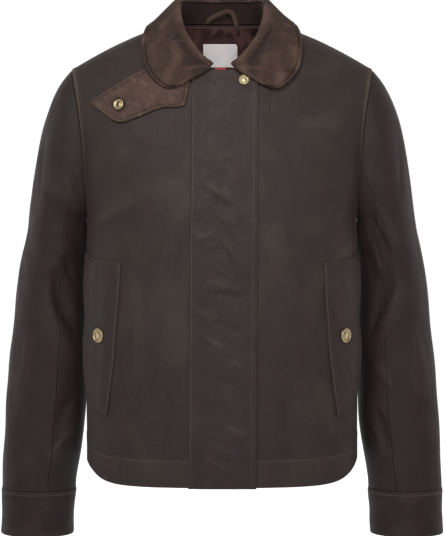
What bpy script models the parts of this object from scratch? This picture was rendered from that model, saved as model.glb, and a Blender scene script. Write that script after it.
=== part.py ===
"""Waxed cotton jacket with a corduroy collar, closed and filled out as if worn.

Metres, +Z up, the front faces -Y. The origin is at the middle of the neck, level with
the shoulders. "right" and "left" are the wearer's: the right side is at -X.
Every cloth piece is a grid of points on one smooth form, thickened to a wall.
"""

import math
from collections import namedtuple

import bmesh
import bpy
from mathutils import Vector

NAME = "waxed_cotton_jacket"

# Walls and gaps
WAXED_WALL = 0.0016
CORDUROY_WALL = 0.0028
LABEL_WALL = 0.0010
SEAM_GAP = 0.0005
LAP_GAP = 0.0006

# Heights of the body
HEM = -0.6115
HEM_SIDE_RISE = 0.028
HEM_RISE_POWER = 12
UNDERARM = -0.250
SHOULDER_SLOPE = 0.30
SHOULDER_ROUND = 1.20

# Armhole, an oval that leans in as it goes down
ARM_TOP_X = 0.207
ARM_LOW_X = 0.186
ARM_LEAN_POWER = 2.2
ARM_FRONT_REACH = 0.056
ARM_BACK_REACH = 0.070

# Neck
NECK_HALF = 0.070
NECK_SIDE = 0.016
NECK_FRONT = -0.050
NECK_BACK = 0.0165
NECK_POWER = 1.8

# Squareness of the body's outline, seen from above, and of its shoulders, seen from the side
FRONT_SQUARE = 2.4
BACK_SQUARE = 2.1
FRONT_SHOULDER_SQUARE = 2.0
BACK_SHOULDER_SQUARE = 2.6

# Front closure
FLAP_RIGHT_X = -0.0396
FLAP_LEFT_X = 0.0477
FLAP_LEAN = 0.006
FLAP_LEFT_LEAN = 0.3
FLAP_DROP = 0.001
FLAP_LEAN_TOP = 1.9
FLAP_TOP = 1.999
FLAP_NORMAL_TOP = 1.99
FLAP_NORMAL_LOW = 0.001

# Sleeve seams, as angles round the sleeve: 0 outside, 90 front, 180 inside, 270 back
OUTER_SEAM = 23.0
FRONT_SEAM = 108.0
CUFF_TOP = -0.6330
SLEEVE_RADIUS = 0.055

# Sleeve head: the way it leaves the armhole, turning down under the arm, and reaches the tube
LEAVE_OUT = 0.85
LEAVE_BACK = -0.30
LEAVE_DOWN = -0.80
LEAVE_LOW_DOWN = -0.10
ARRIVE = Vector((0.16, 0.10, -1.0)).normalized()
HEAD_EASE = 0.85
HEAD_CLEAR_TOP = 0.15
HEAD_CLEAR_LOW = 0.85

# Collar
STAND_WALL = 0.0018
STAND_GAP = 0.0015
STAND_FOOT_GAPS = 2.3
HEART_LEVEL = -0.120
COLLAR_LIFT = 0.0085
COLLAR_BULGE = 0.0015
COLLAR_STEPS = 16
FOLD_INSIDE = 0.005
FOLD_ROUND = 0.0042
FOLD_FULL_DROP = 0.05
CREST_OUT = 0.5
CREST_UP = 0.35
OUTER_OUT = 1.6
OUTER_DOWN = 0.4
BULGE_PLACE = 0.45
BULGE_UP = 0.7

# Throat tab, back neck facing and labels
TAB_LIFT = 0.0029
FACING_WALL = 0.0016
FACING_FIRST_ROW = 7
FACING_TOP_GAP = 0.002
LABEL_GAP = 0.0007
LABEL_X = -0.0025
LABEL_TOP = -0.008
LABEL_WIDTH = 0.048
LABEL_HEIGHT = 0.032
SIZE_WIDTH = 0.016
SIZE_HEIGHT = 0.007

# Rows and columns of the grids
LOWER_ROWS = 6
UPPER_ROWS = 12
FRONT_COLUMNS = 9
HEAD_ROWS = 5
SLEEVE_ROWS = 6
POCKET_COLUMNS = 5

# Snaps
CAP_RADIUS = 0.0098
CAP_HEIGHT = 0.0026
SOCKET_RADIUS = 0.0072
SOCKET_HOLE = 0.0026
SOCKET_HEIGHT = 0.0018
SNAP_SEAT = 0.0004
TURN_STEPS = 20
FLAP_SNAP_X = 0.0292
FLAP_SNAP_Z = -0.0640
FLAP_SNAP_RADIUS = 0.0070
TAB_SNAP_X = -0.1380
TAB_SNAP_Z = -0.0962
LOOP_RADIUS = 0.0022
POCKET_SNAP_ANGLE = 59.5
POCKET_SNAP_LEVEL = -0.4110

Section = namedtuple("Section", "level half_width side_y front_y back_y")
BODY_SECTIONS = (
    Section(-0.6115, 0.1862, -0.020, -0.120, 0.114),
    Section(-0.5600, 0.1868, -0.020, -0.123, 0.114),
    Section(-0.4800, 0.1870, -0.020, -0.124, 0.112),
    Section(-0.4000, 0.1868, -0.019, -0.125, 0.113),
    Section(-0.3200, 0.1866, -0.014, -0.127, 0.118),
    Section(-0.2500, 0.1860, 0.000, -0.127, 0.123),
)

Ring = namedtuple("Ring", "level centre_x centre_y half_width half_depth")
SLEEVE_RINGS = (
    Ring(-0.270, 0.2303, 0.032, 0.0422, 0.0690),
    Ring(-0.330, 0.2375, 0.044, 0.0490, 0.0650),
    Ring(-0.400, 0.2415, 0.047, 0.0530, 0.0590),
    Ring(-0.470, 0.2465, 0.043, 0.0555, 0.0530),
    Ring(-0.540, 0.2505, 0.034, 0.0560, 0.0480),
    Ring(-0.600, 0.2560, 0.024, 0.0525, 0.0440),
    Ring(-0.6330, 0.2585, 0.020, 0.0511, 0.0420),
    Ring(-0.6970, 0.2610, 0.015, 0.0500, 0.0400),
)

# Collar from the centre back to the front tip: the fold along its top, then its free edge
Leaf = namedtuple("Leaf", "fold_x fold_y fold_z edge_x edge_y edge_z")
COLLAR_SECTIONS = (
    Leaf(0.0000, 0.0640, 0.0537, 0.0000, 0.1020, -0.0020),
    Leaf(0.0300, 0.0580, 0.0537, 0.0560, 0.0920, 0.0000),
    Leaf(0.0520, 0.0330, 0.0530, 0.0900, 0.0500, 0.0020),
    Leaf(0.0575, 0.0000, 0.0485, 0.1020, -0.0100, 0.0060),
    Leaf(0.0560, -0.0320, 0.0270, 0.1070, -0.0510, -0.0215),
    Leaf(0.0490, -0.0540, 0.0040, 0.1000, -0.0760, -0.0530),
    Leaf(0.0385, -0.0690, -0.0130, 0.0750, -0.0920, -0.0755),
    Leaf(0.0265, -0.0800, -0.0285, 0.0450, -0.0930, -0.0670),
    Leaf(0.0115, -0.0920, -0.0400, 0.0140, -0.0880, -0.0490),
)

# Throat tab from its point to the end under the collar, upper edge then lower edge
TabRow = namedtuple("TabRow", "upper_x upper_z lower_x lower_z")
TAB_ROWS = (
    TabRow(-0.1772, -0.0916, -0.1703, -0.0984),
    TabRow(-0.1577, -0.0794, -0.1522, -0.1135),
    TabRow(-0.1408, -0.0700, -0.1326, -0.1197),
    TabRow(-0.1176, -0.0564, -0.1040, -0.1101),
    TabRow(-0.0942, -0.0470, -0.0793, -0.1007),
    TabRow(-0.0725, -0.0450, -0.0562, -0.1000),
    TabRow(-0.0450, -0.0530, -0.0480, -0.0920),
)

# Side-opening pocket from top to bottom: its sewn edge, how much higher its free edge is and
# how far that stands off
PocketRow = namedtuple("PocketRow", "level inner_x outer_rise stand_off")
POCKET_ROWS = (
    PocketRow(-0.3080, 0.1357, 0.0040, 0.0000),
    PocketRow(-0.3400, 0.1372, 0.0050, 0.0026),
    PocketRow(-0.3750, 0.1395, 0.0065, 0.0022),
    PocketRow(-0.4110, 0.1422, 0.0085, 0.0006),
    PocketRow(-0.4450, 0.1455, 0.0105, 0.0034),
    PocketRow(-0.4850, 0.1505, 0.0130, 0.0026),
    PocketRow(-0.5215, 0.1560, 0.0155, 0.0000),
)
POCKET_OUTER_ANGLE = 88.0
POCKET_OPENING_POWER = 1.5

# Hanging loop, from seam to seam
Knot = namedtuple("Knot", "x y z")
LOOP_ROUTE = (
    Knot(-0.0215, 0.0483, 0.0195),
    Knot(-0.0165, 0.0478, 0.0255),
    Knot(-0.0060, 0.0470, 0.0315),
    Knot(0.0060, 0.0470, 0.0360),
    Knot(0.0130, 0.0465, 0.0345),
    Knot(0.0175, 0.0462, 0.0260),
    Knot(0.0205, 0.0465, 0.0150),
    Knot(0.0245, 0.0560, 0.0030),
)


def clear_scene():
    for thing in list(bpy.data.objects):
        bpy.data.objects.remove(thing, do_unlink=True)


def material(name, colour, roughness, metallic=0.0):
    made = bpy.data.materials.new(name)
    made.use_nodes = True
    shader = made.node_tree.nodes["Principled BSDF"]
    shader.inputs["Base Color"].default_value = (*colour, 1.0)
    shader.inputs["Roughness"].default_value = roughness
    shader.inputs["Metallic"].default_value = metallic
    return made


def along(rows, position, column):
    """A column of a table at a fractional row, on a smooth curve through the rows."""
    last = len(rows) - 1
    position = min(max(position, 0.0), float(last))
    first = min(int(position), last - 1)
    t = position - first
    p0, p1, p2, p3 = (getattr(rows[min(max(first + k, 0), last)], column) for k in (-1, 0, 1, 2))
    bend = 2 * p0 - 5 * p1 + 4 * p2 - p3
    twist = 3 * p1 - p0 - 3 * p2 + p3
    return 0.5 * (2 * p1 + (p2 - p0) * t + bend * t * t + twist * t ** 3)


def row_at(rows, level):
    """The fractional row of a table, sorted by level, at this height."""
    step = 1 if rows[1].level > rows[0].level else -1
    for k in range(len(rows) - 1):
        if step * (level - rows[k + 1].level) <= 0:
            return k + (level - rows[k].level) / (rows[k + 1].level - rows[k].level)
    return float(len(rows) - 1)


def shoulder_line(x):
    """Height of the shoulder at this distance from the middle."""
    out = abs(x) - NECK_HALF
    return NECK_SIDE - SHOULDER_SLOPE * out - SHOULDER_ROUND * out * out


ARM_TOP = shoulder_line(ARM_TOP_X)


def armhole_x(level):
    rise = max(level - UNDERARM, 0.0) / (ARM_TOP - UNDERARM)
    return ARM_LOW_X + (ARM_TOP_X - ARM_LOW_X) * rise ** ARM_LEAN_POWER


def neckline(x, back):
    """Height of the neck seam at this distance from the middle."""
    centre = NECK_BACK if back else NECK_FRONT
    side = min(abs(x) / NECK_HALF, 1.0)
    return NECK_SIDE + (centre - NECK_SIDE) * (1.0 - side ** NECK_POWER) ** (1.0 / NECK_POWER)


def rise_share(x, back):
    """How much of the way up to the shoulder line the panel goes: all of it outside the neck."""
    if abs(x) >= NECK_HALF:
        return 1.0
    return (neckline(x, back) - UNDERARM) / (shoulder_line(x) - UNDERARM)


def outline_y(x, half, centre, side, square):
    """Depth at x on an outline of this half width, squareness and depth at its centre and sides."""
    out = min(abs(x) / half, 1.0)
    return side + (centre - side) * (1.0 - out ** square) ** (1.0 / square)


def upper_outline(x, share, climb, back):
    """The outline above the arm: it meets the armhole seam, and goes on past it to its own width."""
    square = BACK_SQUARE if back else FRONT_SQUARE
    square_up = BACK_SHOULDER_SQUARE if back else FRONT_SHOULDER_SQUARE
    full = BODY_SECTIONS[-1].back_y if back else BODY_SECTIONS[-1].front_y
    centre = full * (1.0 - climb ** square_up) ** (1.0 / square_up)
    edge_x = armhole_x(UNDERARM + share * (ARM_TOP - UNDERARM))
    reach = 2.0 * math.sqrt(share * (1.0 - share)) * (ARM_BACK_REACH if back else ARM_FRONT_REACH)
    edge_full = abs(full) * (1.0 - share ** square_up) ** (1.0 / square_up)
    turned = min(reach / edge_full, 0.9) if edge_full > 0 else 0.0
    half = edge_x / (1.0 - turned ** square) ** (1.0 / square)
    return outline_y(x, half, centre, 0.0, square)


def body_y(x, level, back=False):
    """Depth of the body's form at this place, seen from the front or from the back."""
    if level > UNDERARM:
        climb = min((level - UNDERARM) / (shoulder_line(x) - UNDERARM), 1.0)
        return upper_outline(x, min(climb / rise_share(x, back), 1.0), climb, back)
    row = row_at(BODY_SECTIONS, level)
    centre = along(BODY_SECTIONS, row, "back_y" if back else "front_y")
    half = along(BODY_SECTIONS, row, "half_width")
    side = along(BODY_SECTIONS, row, "side_y")
    return outline_y(x, half, centre, side, BACK_SQUARE if back else FRONT_SQUARE)


def body_point(angle, height, back=False):
    """A point of the form. angle: 0 at the centre, +-90 at the sides. height: 0 at the hem,
    1 under the arm, 2 at the shoulder seam or the neck seam."""
    square = BACK_SQUARE if back else FRONT_SQUARE
    turn = math.copysign(abs(math.sin(math.radians(angle))) ** (2.0 / square), angle)
    if height <= 1.0:
        rise = HEM_SIDE_RISE * abs(turn) ** HEM_RISE_POWER * (1.0 - height)
        level = HEM + (UNDERARM - HEM) * height + rise
        x = along(BODY_SECTIONS, row_at(BODY_SECTIONS, level), "half_width") * turn
        return Vector((x, body_y(x, level, back), level))
    share = 0.5 * (1.0 - math.cos(math.pi * (height - 1.0)))
    x = armhole_x(UNDERARM + share * (ARM_TOP - UNDERARM)) * turn
    climb = share * rise_share(ARM_TOP_X * turn, back)
    level = UNDERARM + climb * (shoulder_line(x) - UNDERARM)
    return Vector((x, upper_outline(x, share, climb, back), level))


def angle_at(x, half, square):
    """The angle round the body at which a section of this half width has this x."""
    share = min(abs(x) / half, 1.0)
    return math.copysign(math.degrees(math.asin(share ** (square / 2.0))), x)


def normal_of(surface, a, b, step=0.01):
    """The unit normal of surface(a, b), pointing away from the body's axis."""
    here = surface(a, b)
    across = surface(a + step, b) - surface(a - step, b)
    upward = surface(a, b + step * 0.01) - surface(a, b - step * 0.01)
    normal = across.cross(upward).normalized()
    away = Vector((here.x, here.y, 0.0))
    return normal if normal.dot(away) > 0 else -normal


def front_lift(x, level, lift):
    """The point in front of the body's form at this x and height, moved out by lift."""
    reach = 0.001
    here = Vector((x, body_y(x, level), level))
    across = Vector((2 * reach, body_y(x + reach, level) - body_y(x - reach, level), 0))
    upward = Vector((0, body_y(x, level + reach) - body_y(x, level - reach), 2 * reach))
    normal = across.cross(upward).normalized()
    return here + normal * lift


def inside_body(point):
    if point.z >= shoulder_line(point.x) or abs(point.x) >= armhole_x(point.z):
        return False
    return body_y(point.x, point.z) < point.y < body_y(point.x, point.z, True)


def on_body(point):
    """Where the line from the middle of the chest through this point leaves the body's form."""
    heart = Vector((0.0, 0.0, HEART_LEVEL))
    near, far = 0.3, 2.0
    for _ in range(30):
        middle = (near + far) / 2
        if inside_body(heart.lerp(point, middle)):
            near = middle
        else:
            far = middle
    return heart.lerp(point, near)


def seated(point, lift):
    """The place on the body's form by this point, moved out along the form's normal."""
    reach = 0.002
    across = on_body(point + Vector((0, reach, 0))) - on_body(point - Vector((0, reach, 0)))
    other = on_body(point + Vector((reach, 0, reach))) - on_body(point - Vector((reach, 0, reach)))
    here = on_body(point)
    normal = across.cross(other).normalized()
    away = here - Vector((0.0, 0.0, HEART_LEVEL))
    return here + normal * math.copysign(lift, normal.dot(away))


def armhole(angle):
    """A point of the armhole seam: 0 at the shoulder, 90 in front, 180 under the arm, 270 behind.
    It runs straight between the rows of the body's panels."""
    steps = angle % 360.0 / 180.0 * UPPER_ROWS
    first = math.floor(steps)
    corners = []
    for k in (first, first + 1):
        turn = math.radians(k * 180.0 / UPPER_ROWS)
        level = UNDERARM + 0.5 * (1.0 + math.cos(turn)) * (ARM_TOP - UNDERARM)
        reach = ARM_FRONT_REACH if math.sin(turn) > 0 else ARM_BACK_REACH
        corners.append(Vector((armhole_x(level), -reach * math.sin(turn), level)))
    return corners[0].lerp(corners[1], steps - first)


def sleeve_ring(angle, row):
    """A point of the sleeve's lower tube, at a fractional row of its table."""
    turn = math.radians(angle)
    x = along(SLEEVE_RINGS, row, "centre_x") + along(SLEEVE_RINGS, row, "half_width") * math.cos(turn)
    y = along(SLEEVE_RINGS, row, "centre_y") - along(SLEEVE_RINGS, row, "half_depth") * math.sin(turn)
    return Vector((x, y, along(SLEEVE_RINGS, row, "level")))


def sleeve_head(angle, t):
    """A point of the sleeve's head: t runs from the armhole seam to the first ring."""
    turn = math.radians(angle)
    low = 0.5 * (1.0 - math.cos(turn))
    down = LEAVE_DOWN + LEAVE_LOW_DOWN * low
    out = Vector((LEAVE_OUT, LEAVE_BACK * math.sin(turn), down)).normalized()
    clear = HEAD_CLEAR_TOP + HEAD_CLEAR_LOW * abs(math.sin(turn / 2))
    start = armhole(angle) + out * (SEAM_GAP + WAXED_WALL * clear)
    end = sleeve_ring(angle, 0.0)
    reach = (end - start).length * HEAD_EASE
    leave = out * reach
    arrive = ARRIVE * reach
    return (
        start * (2 * t ** 3 - 3 * t * t + 1)
        + leave * (t ** 3 - 2 * t * t + t)
        + end * (3 * t * t - 2 * t ** 3)
        + arrive * (t ** 3 - t * t)
    )


def finish(thing, look, group):
    thing.data.materials.clear()
    thing.data.materials.append(look)
    for other in list(thing.users_collection):
        other.objects.unlink(thing)
    group.objects.link(thing)
    return thing


def sheet(name, grid, wall, look, group, ring=False):
    """A wall of cloth on a grid of points, one list to a row. ring joins each row's ends."""
    made = bmesh.new()
    rows = [[made.verts.new(point) for point in row] for row in grid]
    for low, high in zip(rows, rows[1:]):
        count = len(low)
        for k in range(count if ring else count - 1):
            made.faces.new((low[k], low[(k + 1) % count], high[(k + 1) % count], high[k]))
    bmesh.ops.recalc_face_normals(made, faces=made.faces)
    mesh = bpy.data.meshes.new(name)
    made.to_mesh(mesh)
    made.free()
    thing = bpy.data.objects.new(name, mesh)
    bpy.context.scene.collection.objects.link(thing)
    thicken = thing.modifiers.new("wall", "SOLIDIFY")
    thicken.thickness = wall
    thicken.offset = 0.0
    thicken.use_even_offset = True
    mesh.shade_smooth()
    mesh.set_sharp_from_angle(angle=math.radians(40))
    return finish(thing, look, group)


def mirrored(grid):
    return [[Vector((-p.x, p.y, p.z)) for p in row] for row in grid]


def body_heights():
    lower = [k / LOWER_ROWS for k in range(LOWER_ROWS)]
    upper = [1.0 + k / UPPER_ROWS for k in range(UPPER_ROWS + 1)]
    return lower + upper


def spread(first, last, count):
    return [first + (last - first) * k / count for k in range(count + 1)]


def panel_angles(start, neck_angle):
    """Columns of a front panel, with one at the side of the neck."""
    inner = spread(start, neck_angle, 3)
    outer = spread(neck_angle, 90.0, FRONT_COLUMNS - 3)
    return inner + outer[1:]


def seam_shift(grid, gap):
    """Pulls the last column in along the cloth, and the last row down, by half a seam's gap."""
    for row in grid:
        row[-1] = row[-1] + (row[-2] - row[-1]).normalized() * gap * 0.5
    for k, point in enumerate(grid[-1]):
        below = grid[-2][k]
        grid[-1][k] = point + (below - point).normalized() * gap * 0.5
    return grid


def front_panel(side, look, group):
    neck_angle = angle_at(NECK_HALF, ARM_TOP_X, FRONT_SQUARE)
    angles = panel_angles(0.0, neck_angle)
    grid = [[body_point(angle, height) for angle in angles] for height in body_heights()]
    grid = seam_shift(grid, SEAM_GAP)
    for row in grid:
        row[0].x = SEAM_GAP * 0.5
    if side < 0:
        return sheet("front_right", mirrored(grid), WAXED_WALL, look, group)
    return sheet("front_left", grid, WAXED_WALL, look, group)


def back_panel(look, group):
    neck_angle = angle_at(NECK_HALF, ARM_TOP_X, BACK_SQUARE)
    half = panel_angles(0.0, neck_angle)
    grid = [[body_point(angle, height, True) for angle in half] for height in body_heights()]
    grid = seam_shift(grid, SEAM_GAP)
    other = mirrored(grid)
    whole = [left[:0:-1] + right for left, right in zip(other, grid)]
    return sheet("back", whole, WAXED_WALL, look, group)


def sleeve_grid(first, last, columns):
    """Rows of a sleeve panel from the armhole to the cuff seam, on the +X side."""
    angles = spread(first, last, columns)
    rows = [[sleeve_head(angle, k / HEAD_ROWS) for angle in angles] for k in range(HEAD_ROWS)]
    cuff_row = row_at(SLEEVE_RINGS, CUFF_TOP)
    rows += [[sleeve_ring(angle, row) for angle in angles] for row in spread(0.0, cuff_row, SLEEVE_ROWS)]
    return rows


def sleeve(side, look, group):
    word = "right" if side < 0 else "left"
    turn = mirrored if side < 0 else list
    gap = math.degrees(SEAM_GAP * 0.75 / SLEEVE_RADIUS)
    front = sleeve_grid(OUTER_SEAM + gap, FRONT_SEAM - gap, 6)
    rear = sleeve_grid(FRONT_SEAM + gap, OUTER_SEAM + 360.0 - gap, 18)
    sheet(f"sleeve_{word}_front", turn(front), WAXED_WALL, look, group)
    sheet(f"sleeve_{word}_back", turn(rear), WAXED_WALL, look, group)
    cuff_row = row_at(SLEEVE_RINGS, CUFF_TOP)
    angles = spread(0.0, 360.0, 24)[:-1]
    last = len(SLEEVE_RINGS) - 1.0
    rows = [[sleeve_ring(angle, row) for angle in angles] for row in spread(cuff_row, last, 2)]
    for point in rows[0]:
        point.z -= SEAM_GAP
    sheet(f"cuff_{word}", turn(rows), WAXED_WALL, look, group, ring=True)


def flap(look, group):
    """The placket lies over both fronts: sewn along its right edge, free along its left one."""
    lift = WAXED_WALL + LAP_GAP
    grid = []
    for height in body_heights():
        half = body_point(90.0, height).x
        lean = FLAP_LEAN * max(FLAP_LEAN_TOP - height, 0.0) / FLAP_LEAN_TOP
        normal_height = min(max(height, FLAP_NORMAL_LOW), FLAP_NORMAL_TOP)
        row = []
        for x in spread(FLAP_RIGHT_X - lean, FLAP_LEFT_X - lean * FLAP_LEFT_LEAN, 6):
            angle = angle_at(x, half, FRONT_SQUARE)
            point = body_point(angle, min(height, FLAP_TOP))
            row.append(point + normal_of(body_point, angle, normal_height) * lift)
        grid.append(row)
    for point in grid[0]:
        point.z -= FLAP_DROP
    return sheet("front_placket", grid, WAXED_WALL, look, group)


def body_height(level):
    """The height, as body_point takes it, of a level under the arm at the centre."""
    return (level - HEM) / (UNDERARM - HEM)


def pocket(side, look, group):
    word = "right" if side < 0 else "left"
    grid = []
    for row in spread(0.0, len(POCKET_ROWS) - 1.0, 12):
        level = along(POCKET_ROWS, row, "level")
        half = body_point(90.0, body_height(level)).x
        first = angle_at(along(POCKET_ROWS, row, "inner_x"), half, FRONT_SQUARE)
        rise = along(POCKET_ROWS, row, "outer_rise")
        stand = max(along(POCKET_ROWS, row, "stand_off"), 0.0)
        line = []
        for share in spread(0.0, 1.0, POCKET_COLUMNS):
            angle = first + (POCKET_OUTER_ANGLE - first) * share
            height = body_height(level + rise * share)
            lift = WAXED_WALL + LAP_GAP + stand * share ** POCKET_OPENING_POWER
            line.append(body_point(angle, height) + normal_of(body_point, angle, height) * lift)
        grid.append(line)
    turn = mirrored if side < 0 else list
    return sheet(f"pocket_{word}", turn(grid), WAXED_WALL, look, group)


def fold_section(leaf_row):
    """The collar's fall from the inside of its fold, over the top and down to its free edge."""
    fold = Vector([along(COLLAR_SECTIONS, leaf_row, c) for c in ("fold_x", "fold_y", "fold_z")])
    edge = Vector([along(COLLAR_SECTIONS, leaf_row, c) for c in ("edge_x", "edge_y", "edge_z")])
    edge = seated(edge, COLLAR_LIFT)
    drop = edge - fold
    out = Vector((drop.x, drop.y, 0.0))
    out = out.normalized() if out.length > 0 else Vector((0.0, 1.0, 0.0))
    up = Vector((0.0, 0.0, 1.0))
    fall = min(drop.length / FOLD_FULL_DROP, 1.0)
    inner = fold - up * FOLD_INSIDE * fall
    crest = fold + (out * CREST_OUT + up * CREST_UP) * FOLD_ROUND * fall
    outer = fold + (out * OUTER_OUT - up * OUTER_DOWN) * FOLD_ROUND * fall
    bulge = outer.lerp(edge, BULGE_PLACE) + (out + up * BULGE_UP) * COLLAR_BULGE * fall
    points = [inner, crest, outer]
    for t in (0.25, 0.5, 0.75, 1.0):
        points.append(outer * (1 - t) ** 2 + bulge * 2 * t * (1 - t) + edge * t * t)
    return points


def collar(look, group):
    """One stand and one fall, each running round the neck from front tip to front tip."""
    last = len(COLLAR_SECTIONS) - 1.0
    steps = spread(0.0, last, COLLAR_STEPS)
    half = [fold_section(step) for step in steps]
    other = mirrored(half)
    sheet("collar_fall", other[:0:-1] + half, CORDUROY_WALL, look, group)
    stand = []
    for step, section in zip(steps, half):
        seam = neck_seam(step / last)
        head = section[0] + Vector((0.0, 0.0, -STAND_GAP))
        foot = seam + (head - seam).normalized() * STAND_GAP * STAND_FOOT_GAPS
        stand.append([foot.lerp(head, k / 2.0) for k in range(3)])
    stand = stand[:-1]
    sheet("collar_stand", mirrored(stand)[:0:-1] + stand, STAND_WALL, look, group)


def neck_seam(share):
    """The seam of the neck: 0 at the centre back, 1 at the centre front."""
    turn = math.pi * share
    x = NECK_HALF * math.sin(turn) ** 0.9
    back = share < 0.5
    level = neckline(x, back)
    return Vector((x, body_y(x, level, back), level))


def throat_tab(look, group):
    """Lies open on the right front, its end under the collar."""
    grid = []
    for row in spread(0.0, len(TAB_ROWS) - 1.0, 12):
        upper = (along(TAB_ROWS, row, "upper_x"), along(TAB_ROWS, row, "upper_z"))
        lower = (along(TAB_ROWS, row, "lower_x"), along(TAB_ROWS, row, "lower_z"))
        line = []
        for t in spread(0.0, 1.0, 5):
            x = upper[0] + (lower[0] - upper[0]) * t
            z = upper[1] + (lower[1] - upper[1]) * t
            line.append(front_lift(x, z, TAB_LIFT))
        grid.append(line)
    return sheet("throat_tab", grid, CORDUROY_WALL, look, group)


UPWARD = 0.05


def moved_out(grid, lift):
    """The grid with each point moved along its normal, away from the body where lift is over 0."""
    made = []
    for j, row in enumerate(grid):
        line = []
        for k, point in enumerate(row):
            across = row[min(k + 1, len(row) - 1)] - row[max(k - 1, 0)]
            upward = grid[min(j + 1, len(grid) - 1)][k] - grid[max(j - 1, 0)][k]
            normal = across.cross(upward).normalized()
            away = Vector((point.x, point.y, UPWARD))
            line.append(point + normal * math.copysign(lift, normal.dot(away) * lift))
        made.append(line)
    return made


def facing_grid():
    """The top of the back inside the neck, on the back's own rows and columns."""
    neck_angle = angle_at(NECK_HALF, ARM_TOP_X, BACK_SQUARE)
    half = spread(0.0, neck_angle, 3)
    heights = [1.0 + k / UPPER_ROWS for k in range(FACING_FIRST_ROW, UPPER_ROWS + 1)]
    grid = [[body_point(angle, height, True) for angle in half] for height in heights]
    for k, point in enumerate(grid[-1]):
        grid[-1][k] = point + (grid[-2][k] - point).normalized() * FACING_TOP_GAP
    whole = [left[:0:-1] + right for left, right in zip(mirrored(grid), grid)]
    return moved_out(whole, -(WAXED_WALL / 2 + LAP_GAP + FACING_WALL / 2))


def back_neck_facing(look, group):
    """Lies inside the back, from the neck seam down."""
    return sheet("back_neck_facing", facing_grid(), FACING_WALL, look, group)


def on_grid(grid, x, level):
    """The point of a grid at this x and height, seen from the front."""
    for low, high in zip(grid, grid[1:]):
        for k in range(len(low) - 1):
            if not low[k].x <= x <= low[k + 1].x + 1e-9:
                continue
            across = (x - low[k].x) / (low[k + 1].x - low[k].x)
            foot = low[k].lerp(low[k + 1], across)
            head = high[k].lerp(high[k + 1], across)
            if foot.z - 1e-9 <= level <= head.z + 1e-9:
                return foot.lerp(head, (level - foot.z) / (head.z - foot.z))
    return None


def flat_patch(name, top, width, height, look, group):
    """A small woven piece on the facing, as a grid on the facing's form moved inwards."""
    facing = facing_grid()
    grid = []
    for level in spread(top - height, top, 2):
        row = []
        for x in spread(LABEL_X - width / 2, LABEL_X + width / 2, 6):
            row.append(on_grid(facing, x, level))
        grid.append(row)
    lift = FACING_WALL / 2 + LABEL_GAP + LABEL_WALL / 2
    return sheet(name, moved_out(grid, -lift), LABEL_WALL, look, group)


def hanger_loop(look, group):
    curve = bpy.data.curves.new("hanger_loop", "CURVE")
    curve.dimensions = "3D"
    line = curve.splines.new("POLY")
    steps = spread(0.0, len(LOOP_ROUTE) - 1.0, 20)
    line.points.add(len(steps) - 1)
    for point, step in zip(line.points, steps):
        point.co = (*(along(LOOP_ROUTE, step, axis) for axis in ("x", "y", "z")), 1.0)
    curve.bevel_depth = LOOP_RADIUS
    curve.bevel_resolution = 1
    curve.use_fill_caps = True
    thing = bpy.data.objects.new("hanger_loop", curve)
    bpy.context.scene.collection.objects.link(thing)
    return finish(thing, look, group)


def turned(name, profile, hollow, seat, normal, look, group):
    """A round piece standing on its seat: (radius, height) pairs turned about the normal. A
    hollow one is a ring, and one that isn't is closed by flat ends."""
    made = bmesh.new()
    turns = [2 * math.pi * k / TURN_STEPS for k in range(TURN_STEPS)]
    rings = [
        [made.verts.new((radius * math.cos(t), radius * math.sin(t), height)) for t in turns]
        for radius, height in profile
    ]
    pairs = zip(rings, rings[1:] + rings[:1]) if hollow else zip(rings, rings[1:])
    for low, high in pairs:
        for k in range(TURN_STEPS):
            after = (k + 1) % TURN_STEPS
            made.faces.new((low[k], low[after], high[after], high[k]))
    if not hollow:
        made.faces.new(rings[0])
        made.faces.new(rings[-1])
    bmesh.ops.recalc_face_normals(made, faces=made.faces)
    mesh = bpy.data.meshes.new(name)
    made.to_mesh(mesh)
    made.free()
    mesh.shade_smooth()
    mesh.set_sharp_from_angle(angle=math.radians(35))
    thing = bpy.data.objects.new(name, mesh)
    thing.location = seat
    thing.rotation_mode = "QUATERNION"
    thing.rotation_quaternion = normal.to_track_quat("Z", "Y")
    bpy.context.scene.collection.objects.link(thing)
    return finish(thing, look, group)


def cap(name, seat, normal, radius, look, group):
    """A snap cap: a disc with a rounded rim."""
    profile = (
        (radius * 0.94, 0.0),
        (radius, CAP_HEIGHT * 0.35),
        (radius * 0.95, CAP_HEIGHT * 0.75),
        (radius * 0.80, CAP_HEIGHT),
    )
    return turned(name, profile, False, seat, normal, look, group)


def ring_snap(name, seat, normal, look, group):
    """The socket of the tab's snap, open through its middle."""
    profile = (
        (SOCKET_HOLE, 0.0),
        (SOCKET_RADIUS, 0.0),
        (SOCKET_RADIUS * 0.92, SOCKET_HEIGHT * 0.8),
        (SOCKET_RADIUS * 0.7, SOCKET_HEIGHT),
        (SOCKET_HOLE, SOCKET_HEIGHT * 0.7),
    )
    return turned(name, profile, True, seat, normal, look, group)


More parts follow.
